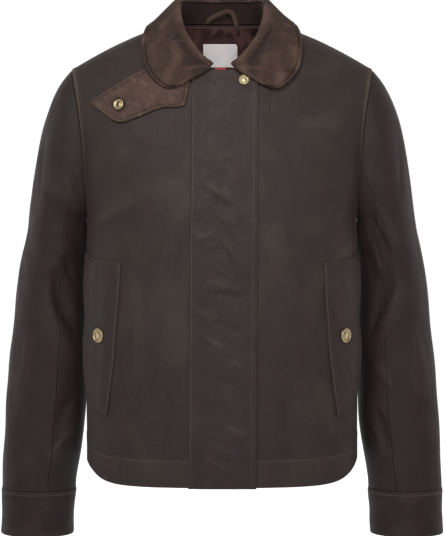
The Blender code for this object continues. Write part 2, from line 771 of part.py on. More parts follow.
def snaps(look, group):
    """The pocket caps, the cap at the top of the placket and the socket on the tab."""
    height = body_height(POCKET_SNAP_LEVEL)
    normal = normal_of(body_point, POCKET_SNAP_ANGLE, height)
    lift = 1.5 * WAXED_WALL + LAP_GAP + SNAP_SEAT
    seat = body_point(POCKET_SNAP_ANGLE, height) + normal * lift
    cap("snap_pocket_left", seat, normal, CAP_RADIUS, look, group)
    flip = Vector((-1.0, 1.0, 1.0))
    cap("snap_pocket_right", seat * flip, normal * flip, CAP_RADIUS, look, group)
    seat = front_lift(FLAP_SNAP_X, FLAP_SNAP_Z, 1.5 * WAXED_WALL + LAP_GAP + SNAP_SEAT)
    normal = (seat - front_lift(FLAP_SNAP_X, FLAP_SNAP_Z, 0.0)).normalized()
    cap("snap_placket", seat, normal, FLAP_SNAP_RADIUS, look, group)
    seat = front_lift(TAB_SNAP_X, TAB_SNAP_Z, TAB_LIFT + CORDUROY_WALL / 2 + SNAP_SEAT)
    normal = (seat - front_lift(TAB_SNAP_X, TAB_SNAP_Z, 0.0)).normalized()
    ring_snap("snap_tab", seat, normal, look, group)


def main():
    clear_scene()
    group = bpy.data.collections.new(NAME)
    bpy.context.scene.collection.children.link(group)
    waxed = material("waxed_cotton", (0.047, 0.037, 0.033), 0.62)
    corduroy = material("corduroy", (0.082, 0.050, 0.040), 0.85)
    brass = material("antique_brass", (0.50, 0.38, 0.19), 0.32, 1.0)
    woven = material("woven_label", (0.62, 0.60, 0.61), 0.70)
    red = material("woven_size_tab", (0.42, 0.05, 0.05), 0.70)
    for side in (-1, 1):
        front_panel(side, waxed, group)
        sleeve(side, waxed, group)
        pocket(side, waxed, group)
    back_panel(waxed, group)
    flap(waxed, group)
    collar(corduroy, group)
    throat_tab(corduroy, group)
    back_neck_facing(corduroy, group)
    hanger_loop(corduroy, group)
    flat_patch("neck_label", LABEL_TOP, LABEL_WIDTH, LABEL_HEIGHT, woven, group)
    size_top = LABEL_TOP - LABEL_HEIGHT - SEAM_GAP
    flat_patch("size_tab", size_top, SIZE_WIDTH, SIZE_HEIGHT, red, group)
    snaps(brass, group)


main()
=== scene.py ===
"""Looks of a waxed cotton jacket with a corduroy collar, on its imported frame.

Metres, +Z up, the front faces -Y. "right" and "left" are the wearer's: right is at -X.
Each piece of cloth is a grid on the same smooth form as its solid, cut to lines at set
distances from its edges, creased along its normals and closed to a thin shell.
"""

import math

import bpy
import numpy as np
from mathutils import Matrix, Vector


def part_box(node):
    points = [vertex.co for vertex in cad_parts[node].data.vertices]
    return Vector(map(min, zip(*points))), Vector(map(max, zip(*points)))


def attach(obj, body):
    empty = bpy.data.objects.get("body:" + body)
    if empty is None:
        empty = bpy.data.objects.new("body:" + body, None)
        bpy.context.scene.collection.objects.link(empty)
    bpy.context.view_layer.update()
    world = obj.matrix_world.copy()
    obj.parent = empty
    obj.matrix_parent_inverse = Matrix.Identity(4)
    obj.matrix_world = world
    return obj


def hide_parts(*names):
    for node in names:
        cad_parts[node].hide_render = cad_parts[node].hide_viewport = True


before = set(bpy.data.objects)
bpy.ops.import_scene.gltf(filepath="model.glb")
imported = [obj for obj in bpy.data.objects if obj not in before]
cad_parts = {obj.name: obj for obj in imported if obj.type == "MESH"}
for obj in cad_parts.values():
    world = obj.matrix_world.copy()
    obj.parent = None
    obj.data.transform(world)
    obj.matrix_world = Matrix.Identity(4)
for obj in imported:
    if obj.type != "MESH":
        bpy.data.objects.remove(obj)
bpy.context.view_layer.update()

# Walls and gaps
WAXED = 0.0016
HEMMED = 0.0022
CORDUROY = 0.0028
STAND = 0.0018
LABEL = 0.0007
FACING = 0.0012
LAP_GAP = 0.0006
LABEL_GAP = 0.0022
STEP = 0.0036

# Body, armhole and neck of the form
HEM = -0.6115
HEM_SIDE_RISE = 0.028
HEM_RISE_POWER = 12
UNDERARM = -0.250
SHOULDER_SLOPE = 0.30
SHOULDER_ROUND = 1.20
ARM_TOP_X = 0.207
ARM_LOW_X = 0.186
ARM_LEAN_POWER = 2.2
ARM_FRONT_REACH = 0.056
ARM_BACK_REACH = 0.070
NECK_HALF = 0.070
NECK_SIDE = 0.016
NECK_FRONT = -0.050
NECK_BACK = 0.0165
NECK_POWER = 1.8
FRONT_SQUARE = 2.4
BACK_SQUARE = 2.1
FRONT_SHOULDER_SQUARE = 2.0
BACK_SHOULDER_SQUARE = 2.6
# level, half_width, side_y, front_y, back_y
BODY = np.array((
    (-0.6115, 0.1862, -0.020, -0.120, 0.114),
    (-0.5600, 0.1868, -0.020, -0.123, 0.114),
    (-0.4800, 0.1870, -0.020, -0.124, 0.112),
    (-0.4000, 0.1868, -0.019, -0.125, 0.113),
    (-0.3200, 0.1866, -0.014, -0.127, 0.118),
    (-0.2500, 0.1860, 0.000, -0.127, 0.123),
))

# Sleeves: level, centre_x, centre_y, half_width, half_depth
RINGS = np.array((
    (-0.270, 0.2303, 0.032, 0.0422, 0.0690),
    (-0.330, 0.2375, 0.044, 0.0490, 0.0650),
    (-0.400, 0.2415, 0.047, 0.0530, 0.0590),
    (-0.470, 0.2465, 0.043, 0.0555, 0.0530),
    (-0.540, 0.2505, 0.034, 0.0560, 0.0480),
    (-0.600, 0.2560, 0.024, 0.0525, 0.0440),
    (-0.6330, 0.2585, 0.020, 0.0511, 0.0420),
    (-0.6970, 0.2610, 0.015, 0.0500, 0.0400),
))
OUTER_SEAM = 23.0
FRONT_SEAM = 108.0
SEAM_TURN = 0.1
CUFF_TOP = -0.6330
# Which way the cloth leaves the armhole, and arrives at the first ring
HEAD_OUT = 0.85
HEAD_SPREAD = 0.30
HEAD_DOWN = 0.80
HEAD_LOW_DOWN = 0.10
HEAD_ARRIVE = (0.16, 0.10, -1.0)
HEAD_EASE = 0.85

# Closure
FLAP_RIGHT_X = -0.0396
FLAP_LEFT_X = 0.0477
FLAP_LEAN = 0.006
FLAP_LEAN_TOP = 1.9
FLAP_LEFT_LEAN = 0.3
FLAP_STEP = 0.0024
FLAP_STITCH = 0.0070
FLAP_WAVES = (0.083, 0.051)

# Collar: fold, then free edge, from the centre back to the front tip
COLLAR = np.array((
    (0.0000, 0.0640, 0.0537, 0.0000, 0.1020, -0.0020),
    (0.0300, 0.0580, 0.0537, 0.0560, 0.0920, 0.0000),
    (0.0520, 0.0330, 0.0530, 0.0900, 0.0500, 0.0020),
    (0.0575, 0.0000, 0.0485, 0.1020, -0.0100, 0.0060),
    (0.0560, -0.0320, 0.0270, 0.1070, -0.0510, -0.0215),
    (0.0490, -0.0540, 0.0040, 0.1000, -0.0760, -0.0530),
    (0.0385, -0.0690, -0.0130, 0.0750, -0.0920, -0.0755),
    (0.0265, -0.0800, -0.0285, 0.0450, -0.0930, -0.0670),
    (0.0115, -0.0920, -0.0400, 0.0140, -0.0880, -0.0490),
))
HEART = np.array((0.0, 0.0, -0.120))
COLLAR_LIFT = 0.0085
COLLAR_BULGE = 0.0015
FOLD_INSIDE = 0.005
FOLD_ROUND = 0.0042
STAND_GAP = 0.0015
STAND_END = 0.93
WALE = 0.0028
WALE_HEIGHT = 0.00058
WALE_LINES = 5
CORD_STITCH = 0.0060
CORD_ROUNDING = 0.0016
# The pile mark's even share of painted groove shade where the collar's wales lie too close to show apart.
SMOOTH_PILE = 0.75
COLLAR_COLUMNS = 40
COLLAR_SMOOTHING = 15
LEAF_EASE = 40.0
# Where each wale leaves the fold (0 to 8, then back along the front edge) and meets the edge
WALE_START = (0.0, 1.5, 3.0, 4.0, 5.0, 6.5, 8.0)
WALE_END = (0.0, 1.38, 2.5, 2.95, 3.4, 4.15, 5.0)
LEAF_START = (8.0, 7.8, 7.55, 7.3, 7.05, 6.8)
LEAF_END = (5.0, 5.25, 5.55, 5.85, 6.1, 6.4)


def along(table, position):
    """All columns of a table at fractional rows, on a smooth curve through the rows."""
    last = len(table) - 1
    position = np.clip(np.asarray(position, float), 0, last)
    first = np.minimum(position.astype(int), last - 1)
    t = (position - first)[..., None]
    p0, p1, p2, p3 = (table[np.clip(first + k, 0, last)] for k in (-1, 0, 1, 2))
    bend = 2 * p0 - 5 * p1 + 4 * p2 - p3
    twist = 3 * p1 - p0 - 3 * p2 + p3
    return 0.5 * (2 * p1 + (p2 - p0) * t + bend * t ** 2 + twist * t ** 3)


def row_at(table, level):
    rows = np.arange(len(table))
    if table[1, 0] > table[0, 0]:
        return np.interp(level, table[:, 0], rows)
    return np.interp(-level, -table[:, 0], rows)


def unit(v):
    return v / np.maximum(np.linalg.norm(v, axis=-1, keepdims=True), 1e-12)


def stacked(*parts):
    return np.stack(np.broadcast_arrays(*parts), axis=-1)


def hermite(start, leave, end, arrive, t):
    """The smooth curve from start to end with these tangents, at t from 0 to 1."""
    return (
        start * (2 * t ** 3 - 3 * t * t + 1)
        + leave * (t ** 3 - 2 * t * t + t)
        + end * (3 * t * t - 2 * t ** 3)
        + arrive * (t ** 3 - t * t)
    )


def run_along(line):
    """How far along the line each of its points is."""
    return np.concatenate(([0.0], np.cumsum(np.linalg.norm(np.diff(line, axis=0), axis=1))))


def at_runs(at, runs, values):
    """Each column of the values at these distances."""
    return np.stack([np.interp(at, runs, column) for column in values.T], axis=-1)


def to_border(left, right, low, high):
    return np.minimum(np.minimum(left, right), np.minimum(low, high))


def mirrored(grid, side):
    """The wearer's left piece as it is, or turned to the right side."""
    return grid if side > 0 else grid[:, ::-1] * (-1, 1, 1)


def word_of(side):
    """side is 1 on the wearer's left and -1 on the right."""
    return "left" if side > 0 else "right"


def shoulder_line(x):
    out = np.abs(x) - NECK_HALF
    return NECK_SIDE - SHOULDER_SLOPE * out - SHOULDER_ROUND * out * out


ARM_TOP = float(shoulder_line(ARM_TOP_X))


def armhole_x(level):
    rise = np.maximum(level - UNDERARM, 0.0) / (ARM_TOP - UNDERARM)
    return ARM_LOW_X + (ARM_TOP_X - ARM_LOW_X) * rise ** ARM_LEAN_POWER


def neckline(x, back):
    centre = NECK_BACK if back else NECK_FRONT
    side = np.minimum(np.abs(x) / NECK_HALF, 1.0)
    return NECK_SIDE + (centre - NECK_SIDE) * (1.0 - side ** NECK_POWER) ** (1.0 / NECK_POWER)


def rise_share(x, back):
    inside = (neckline(x, back) - UNDERARM) / (shoulder_line(x) - UNDERARM)
    return np.where(np.abs(x) >= NECK_HALF, 1.0, inside)


def outline_y(x, half, centre, side, square):
    out = np.minimum(np.abs(x) / half, 1.0)
    return side + (centre - side) * (1.0 - out ** square) ** (1.0 / square)


def upper_outline(x, share, climb, back):
    square = BACK_SQUARE if back else FRONT_SQUARE
    square_up = BACK_SHOULDER_SQUARE if back else FRONT_SHOULDER_SQUARE
    full = BODY[-1, 4] if back else BODY[-1, 3]
    centre = full * (1.0 - np.minimum(climb, 1.0) ** square_up) ** (1.0 / square_up)
    edge_x = armhole_x(UNDERARM + share * (ARM_TOP - UNDERARM))
    swing = 2.0 * np.sqrt(np.maximum(share * (1.0 - share), 0.0))
    reach = swing * (ARM_BACK_REACH if back else ARM_FRONT_REACH)
    edge_full = abs(full) * (1.0 - share ** square_up) ** (1.0 / square_up)
    turned = np.minimum(reach / np.maximum(edge_full, 1e-9), 0.9)
    half = edge_x / (1.0 - turned ** square) ** (1.0 / square)
    return outline_y(x, half, centre, 0.0, square)


def body_y(x, level, back=False):
    line = shoulder_line(x) - UNDERARM
    climb = np.clip((level - UNDERARM) / line, 0.0, 1.0)
    share = np.minimum(climb / rise_share(x, back), 1.0)
    above = upper_outline(x, share, climb, back)
    row = along(BODY, row_at(BODY, np.minimum(level, UNDERARM)))
    centre = row[..., 4] if back else row[..., 3]
    below = outline_y(x, row[..., 1], centre, row[..., 2], BACK_SQUARE if back else FRONT_SQUARE)
    return np.where(level > UNDERARM, above, below)


def body_point(angle, height, back=False):
    """A point of the form. angle: 0 at the centre, +-90 at the sides. height: 0 at the hem,
    1 under the arm, 2 at the shoulder seam or the neck seam."""
    angle, height = np.broadcast_arrays(np.asarray(angle, float), np.asarray(height, float))
    square = BACK_SQUARE if back else FRONT_SQUARE
    turn = np.copysign(np.abs(np.sin(np.radians(angle))) ** (2.0 / square), angle)
    low = np.clip(height, 0.0, 1.0)
    level = HEM + (UNDERARM - HEM) * low + HEM_SIDE_RISE * np.abs(turn) ** HEM_RISE_POWER * (1.0 - low)
    x = along(BODY, row_at(BODY, level))[..., 1] * turn
    below = stacked(x, body_y(x, level, back), level)
    share = 0.5 * (1.0 - np.cos(np.pi * np.clip(height - 1.0, 0.0, 1.0)))
    x = armhole_x(UNDERARM + share * (ARM_TOP - UNDERARM)) * turn
    climb = share * rise_share(ARM_TOP_X * turn, back)
    level = UNDERARM + climb * (shoulder_line(x) - UNDERARM)
    above = stacked(x, upper_outline(x, share, climb, back), level)
    return np.where((height <= 1.0)[..., None], below, above)


def angle_at(x, half, square):
    share = np.minimum(np.abs(x) / half, 1.0)
    return np.copysign(np.degrees(np.arcsin(share ** (square / 2.0))), x)


def inside_body(p):
    x, y, z = p[..., 0], p[..., 1], p[..., 2]
    within = (z < shoulder_line(x)) & (np.abs(x) < armhole_x(z))
    return within & (body_y(x, z) < y) & (y < body_y(x, z, True))


def reach_of(points):
    """How far from the heart to each point the body's form lies, as a share of that way."""
    near, far = np.full(points.shape[:-1], 0.3), np.full(points.shape[:-1], 2.5)
    for _ in range(22):
        middle = (near + far) / 2
        inside = inside_body(HEART + (points - HEART) * middle[..., None])
        near, far = np.where(inside, middle, near), np.where(inside, far, middle)
    return near


def on_body(points):
    return HEART + (points - HEART) * reach_of(points)[..., None]


def seated(points, lift):
    """The places on the body's form by these points, moved out along the form's normal."""
    reach = 0.002
    side, up = np.array((0, reach, 0)), np.array((reach, 0, reach))
    across = on_body(points + side) - on_body(points - side)
    other = on_body(points + up) - on_body(points - up)
    here = on_body(points)
    normal = unit(np.cross(across, other))
    turn = np.sign((normal * (here - HEART)).sum(-1, keepdims=True))
    return here + normal * turn * lift


def armhole(angle):
    turn = np.radians(angle)
    level = UNDERARM + 0.5 * (1.0 + np.cos(turn)) * (ARM_TOP - UNDERARM)
    reach = np.where(np.sin(turn) > 0, ARM_FRONT_REACH, ARM_BACK_REACH)
    return stacked(armhole_x(level), -reach * np.sin(turn), level)


def sleeve_ring(angle, row):
    turn = np.radians(angle)
    ring = along(RINGS, row)
    x = ring[..., 1] + ring[..., 3] * np.cos(turn)
    y = ring[..., 2] - ring[..., 4] * np.sin(turn)
    return stacked(x, y, ring[..., 0])


def sleeve_head(angle, t):
    turn = np.radians(angle)
    low = 0.5 * (1.0 - np.cos(turn))
    out = unit(stacked(HEAD_OUT, -HEAD_SPREAD * np.sin(turn), -HEAD_DOWN - HEAD_LOW_DOWN * low))
    gap = 0.0004 + WAXED * (0.15 + 0.85 * np.abs(np.sin(turn / 2)))
    start = armhole(angle) + out * gap[..., None]
    end = sleeve_ring(angle, np.zeros_like(turn))
    reach = np.linalg.norm(end - start, axis=-1, keepdims=True) * HEAD_EASE
    return hermite(start, out * reach, end, unit(np.array(HEAD_ARRIVE)) * reach, t[..., None])


# ---------------------------------------------------------------- cutting and creasing

EDGE = (0.0, 0.0001, 0.0004, 0.0009, 0.0016)
THICK_EDGE = (0.0, 0.0002, 0.0006, 0.0013, 0.0022)


def places(length, first, last, count):
    """Distances along a line of this length: set ones by both ends, even ones between."""
    free = length - first[-1] - last[-1]
    if free <= 0:
        return np.linspace(0.0, length, len(first) + len(last) + count)
    middle = first[-1] + free * np.arange(1, count + 1) / (count + 1)
    return np.concatenate((first, middle, length - np.array(last[::-1])))


def cut(grid, first=(0.0,), last=(0.0,), step=STEP, axis=0):
    """The grid's lines along this axis made again, at these distances from both ends."""
    if axis == 1:
        return cut(grid.transpose(1, 0, 2), first, last, step).transpose(1, 0, 2)
    columns = [(run_along(column), column) for column in grid.transpose(1, 0, 2)]
    count = max(int(np.median([runs[-1] for runs, _ in columns]) / step), 1)
    made = []
    for runs, column in columns:
        at = places(runs[-1], np.array(first), np.array(last), count)
        made.append(at_runs(at, runs, column))
    return np.stack(made, axis=1)


def normals(grid, ring=False):
    if ring:
        across = np.roll(grid, -1, axis=1) - np.roll(grid, 1, axis=1)
    else:
        across = np.gradient(grid, axis=1)
    return unit(np.cross(across, np.gradient(grid, axis=0)))


def travels(grid):
    """Distances of each point from the first and last column and from the first and last row."""
    rows = np.linalg.norm(np.diff(grid, axis=1), axis=-1)
    left = np.concatenate((np.zeros((grid.shape[0], 1)), np.cumsum(rows, axis=1)), axis=1)
    columns = np.linalg.norm(np.diff(grid, axis=0), axis=-1)
    low = np.concatenate((np.zeros((1, grid.shape[1])), np.cumsum(columns, axis=0)))
    return left, left[:, -1:] - left, low, low[-1:] - low


def smooth_path(points, step=0.004):
    points = np.asarray(points, float)
    fine = along(points, np.linspace(0, len(points) - 1, 24 * len(points)))
    runs = run_along(fine)
    return at_runs(np.linspace(0.0, runs[-1], max(int(runs[-1] / step), 3) + 1), runs, fine)


def creased(grid, normal, creases, facing):
    """Heights of soft folds. Each crease is ((x, z), ...), width, height, seen from the
    side that facing points to: -1 for the front and 1 for the back."""
    flat = grid.reshape(-1, 3)
    seen = (normal.reshape(-1, 3)[:, 1] * facing > -0.05)
    height = np.zeros(len(flat))
    if not seen.any():
        return height.reshape(grid.shape[:-1])
    shown = flat[seen]
    for route, width, rise in creases:
        marks = []
        for x, z in route:
            nearest = ((shown[:, [0, 2]] - (x, z)) ** 2).sum(1).argmin()
            marks.append((x, shown[nearest, 1], z))
        line = smooth_path(marks)
        near = np.flatnonzero((np.abs(flat - line.mean(0)) < np.ptp(line, axis=0) / 2 + 3 * width).all(1))
        if not len(near):
            continue
        apart = ((flat[near, None] - line[None]) ** 2).sum(2)
        closest = apart.argmin(1)
        share = closest / (len(line) - 1.0)
        spread = width * (0.8 + 0.35 * np.sin(5.0 * share + 40.0 * line[0, 2]))
        fall = np.exp(-apart.min(1) / spread ** 2)
        height[near] += rise * fall * np.sin(np.pi * share) ** 0.7
    return height.reshape(grid.shape[:-1])


def lumps(grid, size, seed, count=7):
    """Smooth uneven heights from -1 to 1, a sum of waves in set directions."""
    chance = np.random.RandomState(seed)
    total = np.zeros(grid.shape[:-1])
    for _ in range(count):
        way = unit(chance.normal(size=3))
        length = size * chance.uniform(0.6, 1.7)
        total += np.sin(grid @ way * 2 * np.pi / length + chance.uniform(0, 6.283))
    return total / math.sqrt(count)


def bump_at(distance, at, width):
    return np.exp(-(((distance - at) / width) ** 2))


def fading(distance, at, width):
    """1 nearer than this distance and 0 past it."""
    return 0.5 * (1.0 - np.tanh((distance - at) / (2 * width)))


def mesh_object(name, points, faces, look, uv=None, marks=None):
    mesh = bpy.data.meshes.new(name)
    mesh.from_pydata(points.tolist(), [], faces)
    mesh.validate()
    if uv is not None:
        layer = mesh.uv_layers.new(name="UVMap")
        loops = np.empty(len(mesh.loops), np.int32)
        mesh.loops.foreach_get("vertex_index", loops)
        layer.data.foreach_set("uv", uv[loops].astype(np.float32).ravel())
    for key, values in (marks or {}).items():
        made = mesh.attributes.new(key, "FLOAT", "POINT")
        made.data.foreach_set("value", values.astype(np.float32))
    mesh.shade_smooth()
    mesh.materials.append(look)
    thing = bpy.data.objects.new(name, mesh)
    bpy.context.scene.collection.objects.link(thing)
    return thing


def shell(name, grid, wall, look, ring=False, flip=False, rounding=None, marks=None):
    """Closes a grid to a thin cloth shell with rolled edges, and keeps its outer face."""
    normal = normals(grid, ring) * (-1.0 if flip else 1.0)
    left, right, low, high = travels(grid)
    border = np.minimum(low, high) if ring else to_border(left, right, low, high)
    rounding = rounding or wall * 0.55
    half = wall / 2 * np.sqrt(1.0 - (1.0 - np.minimum(border / rounding, 1.0)) ** 2)
    rows, columns = grid.shape[:2]
    edge = np.zeros((rows, columns), bool)
    edge[[0, -1]] = True
    if not ring:
        edge[:, [0, -1]] = True
    half[edge] = 0.0
    outer = (grid + normal * half[..., None]).reshape(-1, 3)
    inner = (grid - normal * half[..., None]).reshape(-1, 3)
    inside = np.flatnonzero(~edge.ravel())
    under = np.arange(rows * columns)
    under[inside] = rows * columns + np.arange(len(inside))
    index = np.arange(rows * columns).reshape(rows, columns)
    if ring:
        index = np.concatenate((index, index[:, :1]), axis=1)
    corners = (index[:-1, :-1], index[:-1, 1:], index[1:, 1:], index[1:, :-1])
    quads = np.stack(corners, axis=-1).reshape(-1, 4)
    if flip:
        quads = quads[:, ::-1]
    faces = np.concatenate((quads, under[quads][:, ::-1]))
    points = np.concatenate((outer, inner[inside]))
    uv = stacked(left, low).reshape(-1, 2)
    uv = np.concatenate((uv, uv[inside]))
    marks = {key: np.broadcast_to(value, (rows, columns)).ravel() for key, value in (marks or {}).items()}
    marks = {key: np.concatenate((value, value[inside])) for key, value in marks.items()}
    thing = mesh_object(name, points, faces.tolist(), look, uv, marks)
    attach(thing, "root")
    face = outer.reshape(rows, columns, 3)
    return dict(thing=thing, face=face, normal=normal, left=left, right=right, low=low, high=high)


def on_face(cloth, side, distance, skip=(0.004, 0.004)):
    """The line on a cloth's face at this distance from one of its sides, and its normals."""
    far, face, normal = cloth[side], cloth["face"], cloth["normal"]
    if side in ("left", "right"):
        far, face, normal = far.T, face.transpose(1, 0, 2), normal.transpose(1, 0, 2)
    line, up = [], []
    for k in range(face.shape[1]):
        run = far[:, k]
        if max(run[0], run[-1]) < distance:
            continue
        order = 1 if run[-1] > run[0] else -1
        line.append(at_runs(distance, run[::order], face[::order, k]))
        up.append(at_runs(distance, run[::order], normal[::order, k]))
    line, up = np.array(line), np.array(up)
    runs = run_along(line)
    keep = (runs >= skip[0]) & (runs <= runs[-1] - skip[1])
    return line[keep], unit(up[keep])


STITCH = 0.0026
STITCH_PITCH = 0.0036
THREAD = 0.00042
STITCH_SIDES = 6
# Along a stitch: share of its length, swelling, lift
STITCH_SHAPE = ((0.0, 0.3, -0.35), (0.22, 0.9, 0.15), (0.5, 1.0, 0.35), (0.78, 0.9, 0.15), (1.0, 0.3, -0.35))


def stitching(name, lines, look):
    """Rows of thread: each stitch is a short swelling that dips into the cloth at its ends."""
    points, faces = [], []
    sides = STITCH_SIDES
    turns = [2 * math.pi * k / sides for k in range(sides)]
    for line, up in lines:
        if len(line) < 2:
            continue
        runs = run_along(line)
        for begin in np.arange(0.0, runs[-1] - STITCH, STITCH_PITCH):
            first = len(points)
            start, end = at_runs(begin, runs, line), at_runs(begin + STITCH, runs, line)
            here = unit(at_runs(begin, runs, up))
            side = unit(np.cross(here, unit(end - start)))
            for share, swell, lift in STITCH_SHAPE:
                middle = start * (1 - share) + end * share + here * lift * THREAD
                for turn in turns:
                    round_it = side * math.cos(turn) + here * math.sin(turn) * 0.75
                    points.append(middle + THREAD * swell * round_it)
            for ring in range(len(STITCH_SHAPE) - 1):
                for k in range(sides):
                    a = first + ring * sides + k
                    b = first + ring * sides + (k + 1) % sides
                    faces.append((a, a + sides, b + sides, b))
            faces.append(tuple(first + k for k in range(sides)))
            last = first + (len(STITCH_SHAPE) - 1) * sides
            faces.append(tuple(last + k for k in reversed(range(sides))))
    thing = mesh_object(name, np.array(points), faces, look)
    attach(thing, "root")


# ---------------------------------------------------------------- materials


class Nodes:
    """Short calls for building one material's nodes."""

    def __init__(self, name):
        self.look = bpy.data.materials.new(name)
        self.look.use_nodes = True
        self.tree = self.look.node_tree
        self.shader = self.tree.nodes["Principled BSDF"]

    def add(self, kind, inputs=None, **settings):
        node = self.tree.nodes.new(kind)
        for key, value in settings.items():
            setattr(node, key, value)
        for key, value in (inputs or {}).items():
            self.join(value, node.inputs[key])
        return node

    def join(self, value, socket):
        """A colour is three numbers."""
        if isinstance(value, bpy.types.NodeSocket):
            self.tree.links.new(value, socket)
        else:
            socket.default_value = (*value, 1.0) if socket.type == "RGBA" else value

    def surface(self, **values):
        """Sets the shader's inputs: Base_Color is the one called Base Color."""
        for key, value in values.items():
            self.join(value, self.shader.inputs[key.replace("_", " ")])

    def place(self):
        return self.add("ShaderNodeTexCoord").outputs["Object"]

    def noise(self, scale, detail=3.0, rough=0.55, vector=None, stretch=None):
        vector = vector or self.place()
        if stretch:
            vector = self.add("ShaderNodeMapping", {"Vector": vector, "Scale": stretch}).outputs[0]
        inputs = {"Vector": vector, "Scale": scale, "Detail": detail, "Roughness": rough}
        return self.add("ShaderNodeTexNoise", inputs).outputs["Fac"]

    def ramp(self, value, *stops):
        node = self.add("ShaderNodeValToRGB", {"Fac": value})
        band = node.color_ramp
        for k, (at, colour) in enumerate(stops):
            stop = band.elements[k] if k < 2 else band.elements.new(at)
            stop.position = at
            stop.color = (*colour, 1.0)
        return node.outputs["Color"]

    def rise(self, value, low, high, first=0.0, last=1.0):
        """A grey that goes from first to last as the value goes from low to high."""
        return self.ramp(value, (low, (first,) * 3), (high, (last,) * 3))

    def share(self, value, most):
        return self.math("MULTIPLY", value, most)

    def mix(self, share, first, second, blend="MIX"):
        node = self.add("ShaderNodeMix", data_type="RGBA", blend_type=blend)
        self.join(share, node.inputs[0])
        self.join(first, node.inputs[6])
        self.join(second, node.inputs[7])
        return node.outputs[2]

    def math(self, what, first, second=0.0, third=0.0, clamp=False):
        node = self.add("ShaderNodeMath", operation=what, use_clamp=clamp)
        for k, value in enumerate((first, second, third)):
            self.join(value, node.inputs[k])
        return node.outputs[0]

    def mark(self, name):
        return self.add("ShaderNodeAttribute", attribute_name=name).outputs["Fac"]

    def threads(self, pitch):
        """Heights of a plain weave on the cloth's own flat coordinates."""
        uv = self.add("ShaderNodeUVMap", uv_map="UVMap").outputs[0]
        split = self.add("ShaderNodeSeparateXYZ", {"Vector": uv})
        waves = []
        for axis in (0, 1):
            phase = self.math("MULTIPLY", split.outputs[axis], 2 * math.pi / pitch)
            waves.append(self.math("SINE", phase))
        return self.math("MULTIPLY", waves[0], waves[1])

    def bump(self, height, strength, distance, under=None):
        inputs = {"Height": height, "Strength": strength, "Distance": distance}
        if under is not None:
            inputs["Normal"] = under
        return self.add("ShaderNodeBump", inputs).outputs[0]


# Waxed cotton's hues over its broad patches, and what lightens and darkens them
WAX_HUES = (
    (0.32, (0.0262, 0.0170, 0.0152)),
    (0.50, (0.0262, 0.0180, 0.0160)),
    (0.66, (0.0228, 0.0190, 0.0170)),
)
WAX_LIGHT = (0.038, 0.0275, 0.0250)
WAX_DARK = (0.0165, 0.0122, 0.0110)
WEAVE_TIP = (0.043, 0.030, 0.026)
SLUB_TIP = (0.050, 0.036, 0.031)
GRAIN_DARK = (0.0135, 0.0095, 0.0088)
BROKEN_WAX = (0.044, 0.040, 0.040)
# The colour of worn wax, and of the painted highlight along the front's armhole seam.
WORN_WAX_AND_HIGHLIGHT = (0.074, 0.057, 0.049)
WARM_SHEEN = (0.80, 0.68, 0.62)
PILE_SHEEN = (0.80, 0.66, 0.60)
WAX_WEAVE = 0.0011
LABEL_WEAVE = 0.0007


def waxed_cotton(name, tone, crumpled=0.0):
    """tone scales the cloth's colours, and crumpled adds small cool patches of broken wax."""
    n = Nodes(name)
    colour = n.ramp(n.noise(9.0, 2.0), *WAX_HUES)
    patch = n.noise(34.0, 4.0, 0.6)
    colour = n.mix(n.share(n.rise(patch, 0.42, 0.72), 0.30), colour, WAX_LIGHT)
    colour = n.mix(n.share(n.rise(n.noise(21.0, 3.0), 0.30, 0.48, 1.0, 0.0), 0.28), colour, WAX_DARK)
    weave = n.threads(WAX_WEAVE)
    colour = n.mix(n.math("MULTIPLY_ADD", weave, 0.10, 0.10), colour, WEAVE_TIP)
    slub = n.noise(420.0, 2.0, 0.6, stretch=(1.0, 1.0, 0.16))
    colour = n.mix(n.share(n.rise(slub, 0.5, 0.75), 0.16), colour, SLUB_TIP)
    colour = n.mix(n.rise(n.noise(260.0, 3.0, 0.7), 0.35, 0.65, 0.34, 0.0), colour, GRAIN_DARK)
    if crumpled:
        cracks = n.noise(78.0, 4.0, 0.60, stretch=(0.60, 1.0, 1.0))
        where = n.rise(n.noise(20.0, 2.0), 0.40, 0.58, 0.15)
        colour = n.mix(n.share(n.share(n.rise(cracks, 0.45, 0.74), crumpled), where), colour, BROKEN_WAX)
    # The wear mark lightens the cloth: worn wax on ridges, edges and seams, and a painted highlight along
    # the front's armhole seam.
    uneven = n.math("MULTIPLY_ADD", patch, 0.9, 0.35)
    colour = n.mix(n.math("MULTIPLY", n.mark("wear_and_highlight"), uneven, clamp=True), colour, WORN_WAX_AND_HIGHLIGHT)
    creased_wax = n.bump(n.noise(150.0, 4.0, 0.65), 0.22, 0.0012)
    n.surface(
        Base_Color=n.add("ShaderNodeHueSaturation", {"Color": colour, "Value": tone}).outputs[0],
        Roughness=n.math("MULTIPLY_ADD", n.noise(55.0, 3.0), 0.22, 0.50),
        Normal=n.bump(weave, 0.16, 0.0003, creased_wax),
        Specular_IOR_Level=0.14,
        Sheen_Weight=0.04,
        Sheen_Roughness=0.40,
        Sheen_Tint=WARM_SHEEN,
    )
    return n.look


def scaled(colour, share):
    return tuple(c * share for c in colour)


def corduroy(name, ridge, groove_painted_shade):
    n = Nodes(name)
    nap = n.rise(n.noise(30.0, 4.0, 0.6), 0.35, 0.70)
    tone = n.mix(nap, scaled(ridge, 0.80), scaled(ridge, 1.22))
    # Painted shade in the grooves between the wales: where the pile mark is low the colour falls to the
    # groove colour, far darker than the ridges.
    colour = n.mix(n.math("POWER", n.mark("pile_and_groove_shade"), 1.8, clamp=True), groove_painted_shade, tone)
    fluff = n.noise(900.0, 2.0, 0.6)
    colour = n.mix(n.share(fluff, 0.35), colour, scaled(ridge, 0.55))
    n.surface(
        Base_Color=n.mix(n.mark("wear_and_highlight"), colour, scaled(ridge, 1.9)),
        Normal=n.bump(fluff, 0.35, 0.0006),
        Roughness=0.92,
        Specular_IOR_Level=0.12,
        Sheen_Weight=0.16,
        Sheen_Roughness=0.35,
        Sheen_Tint=PILE_SHEEN,
    )
    return n.look


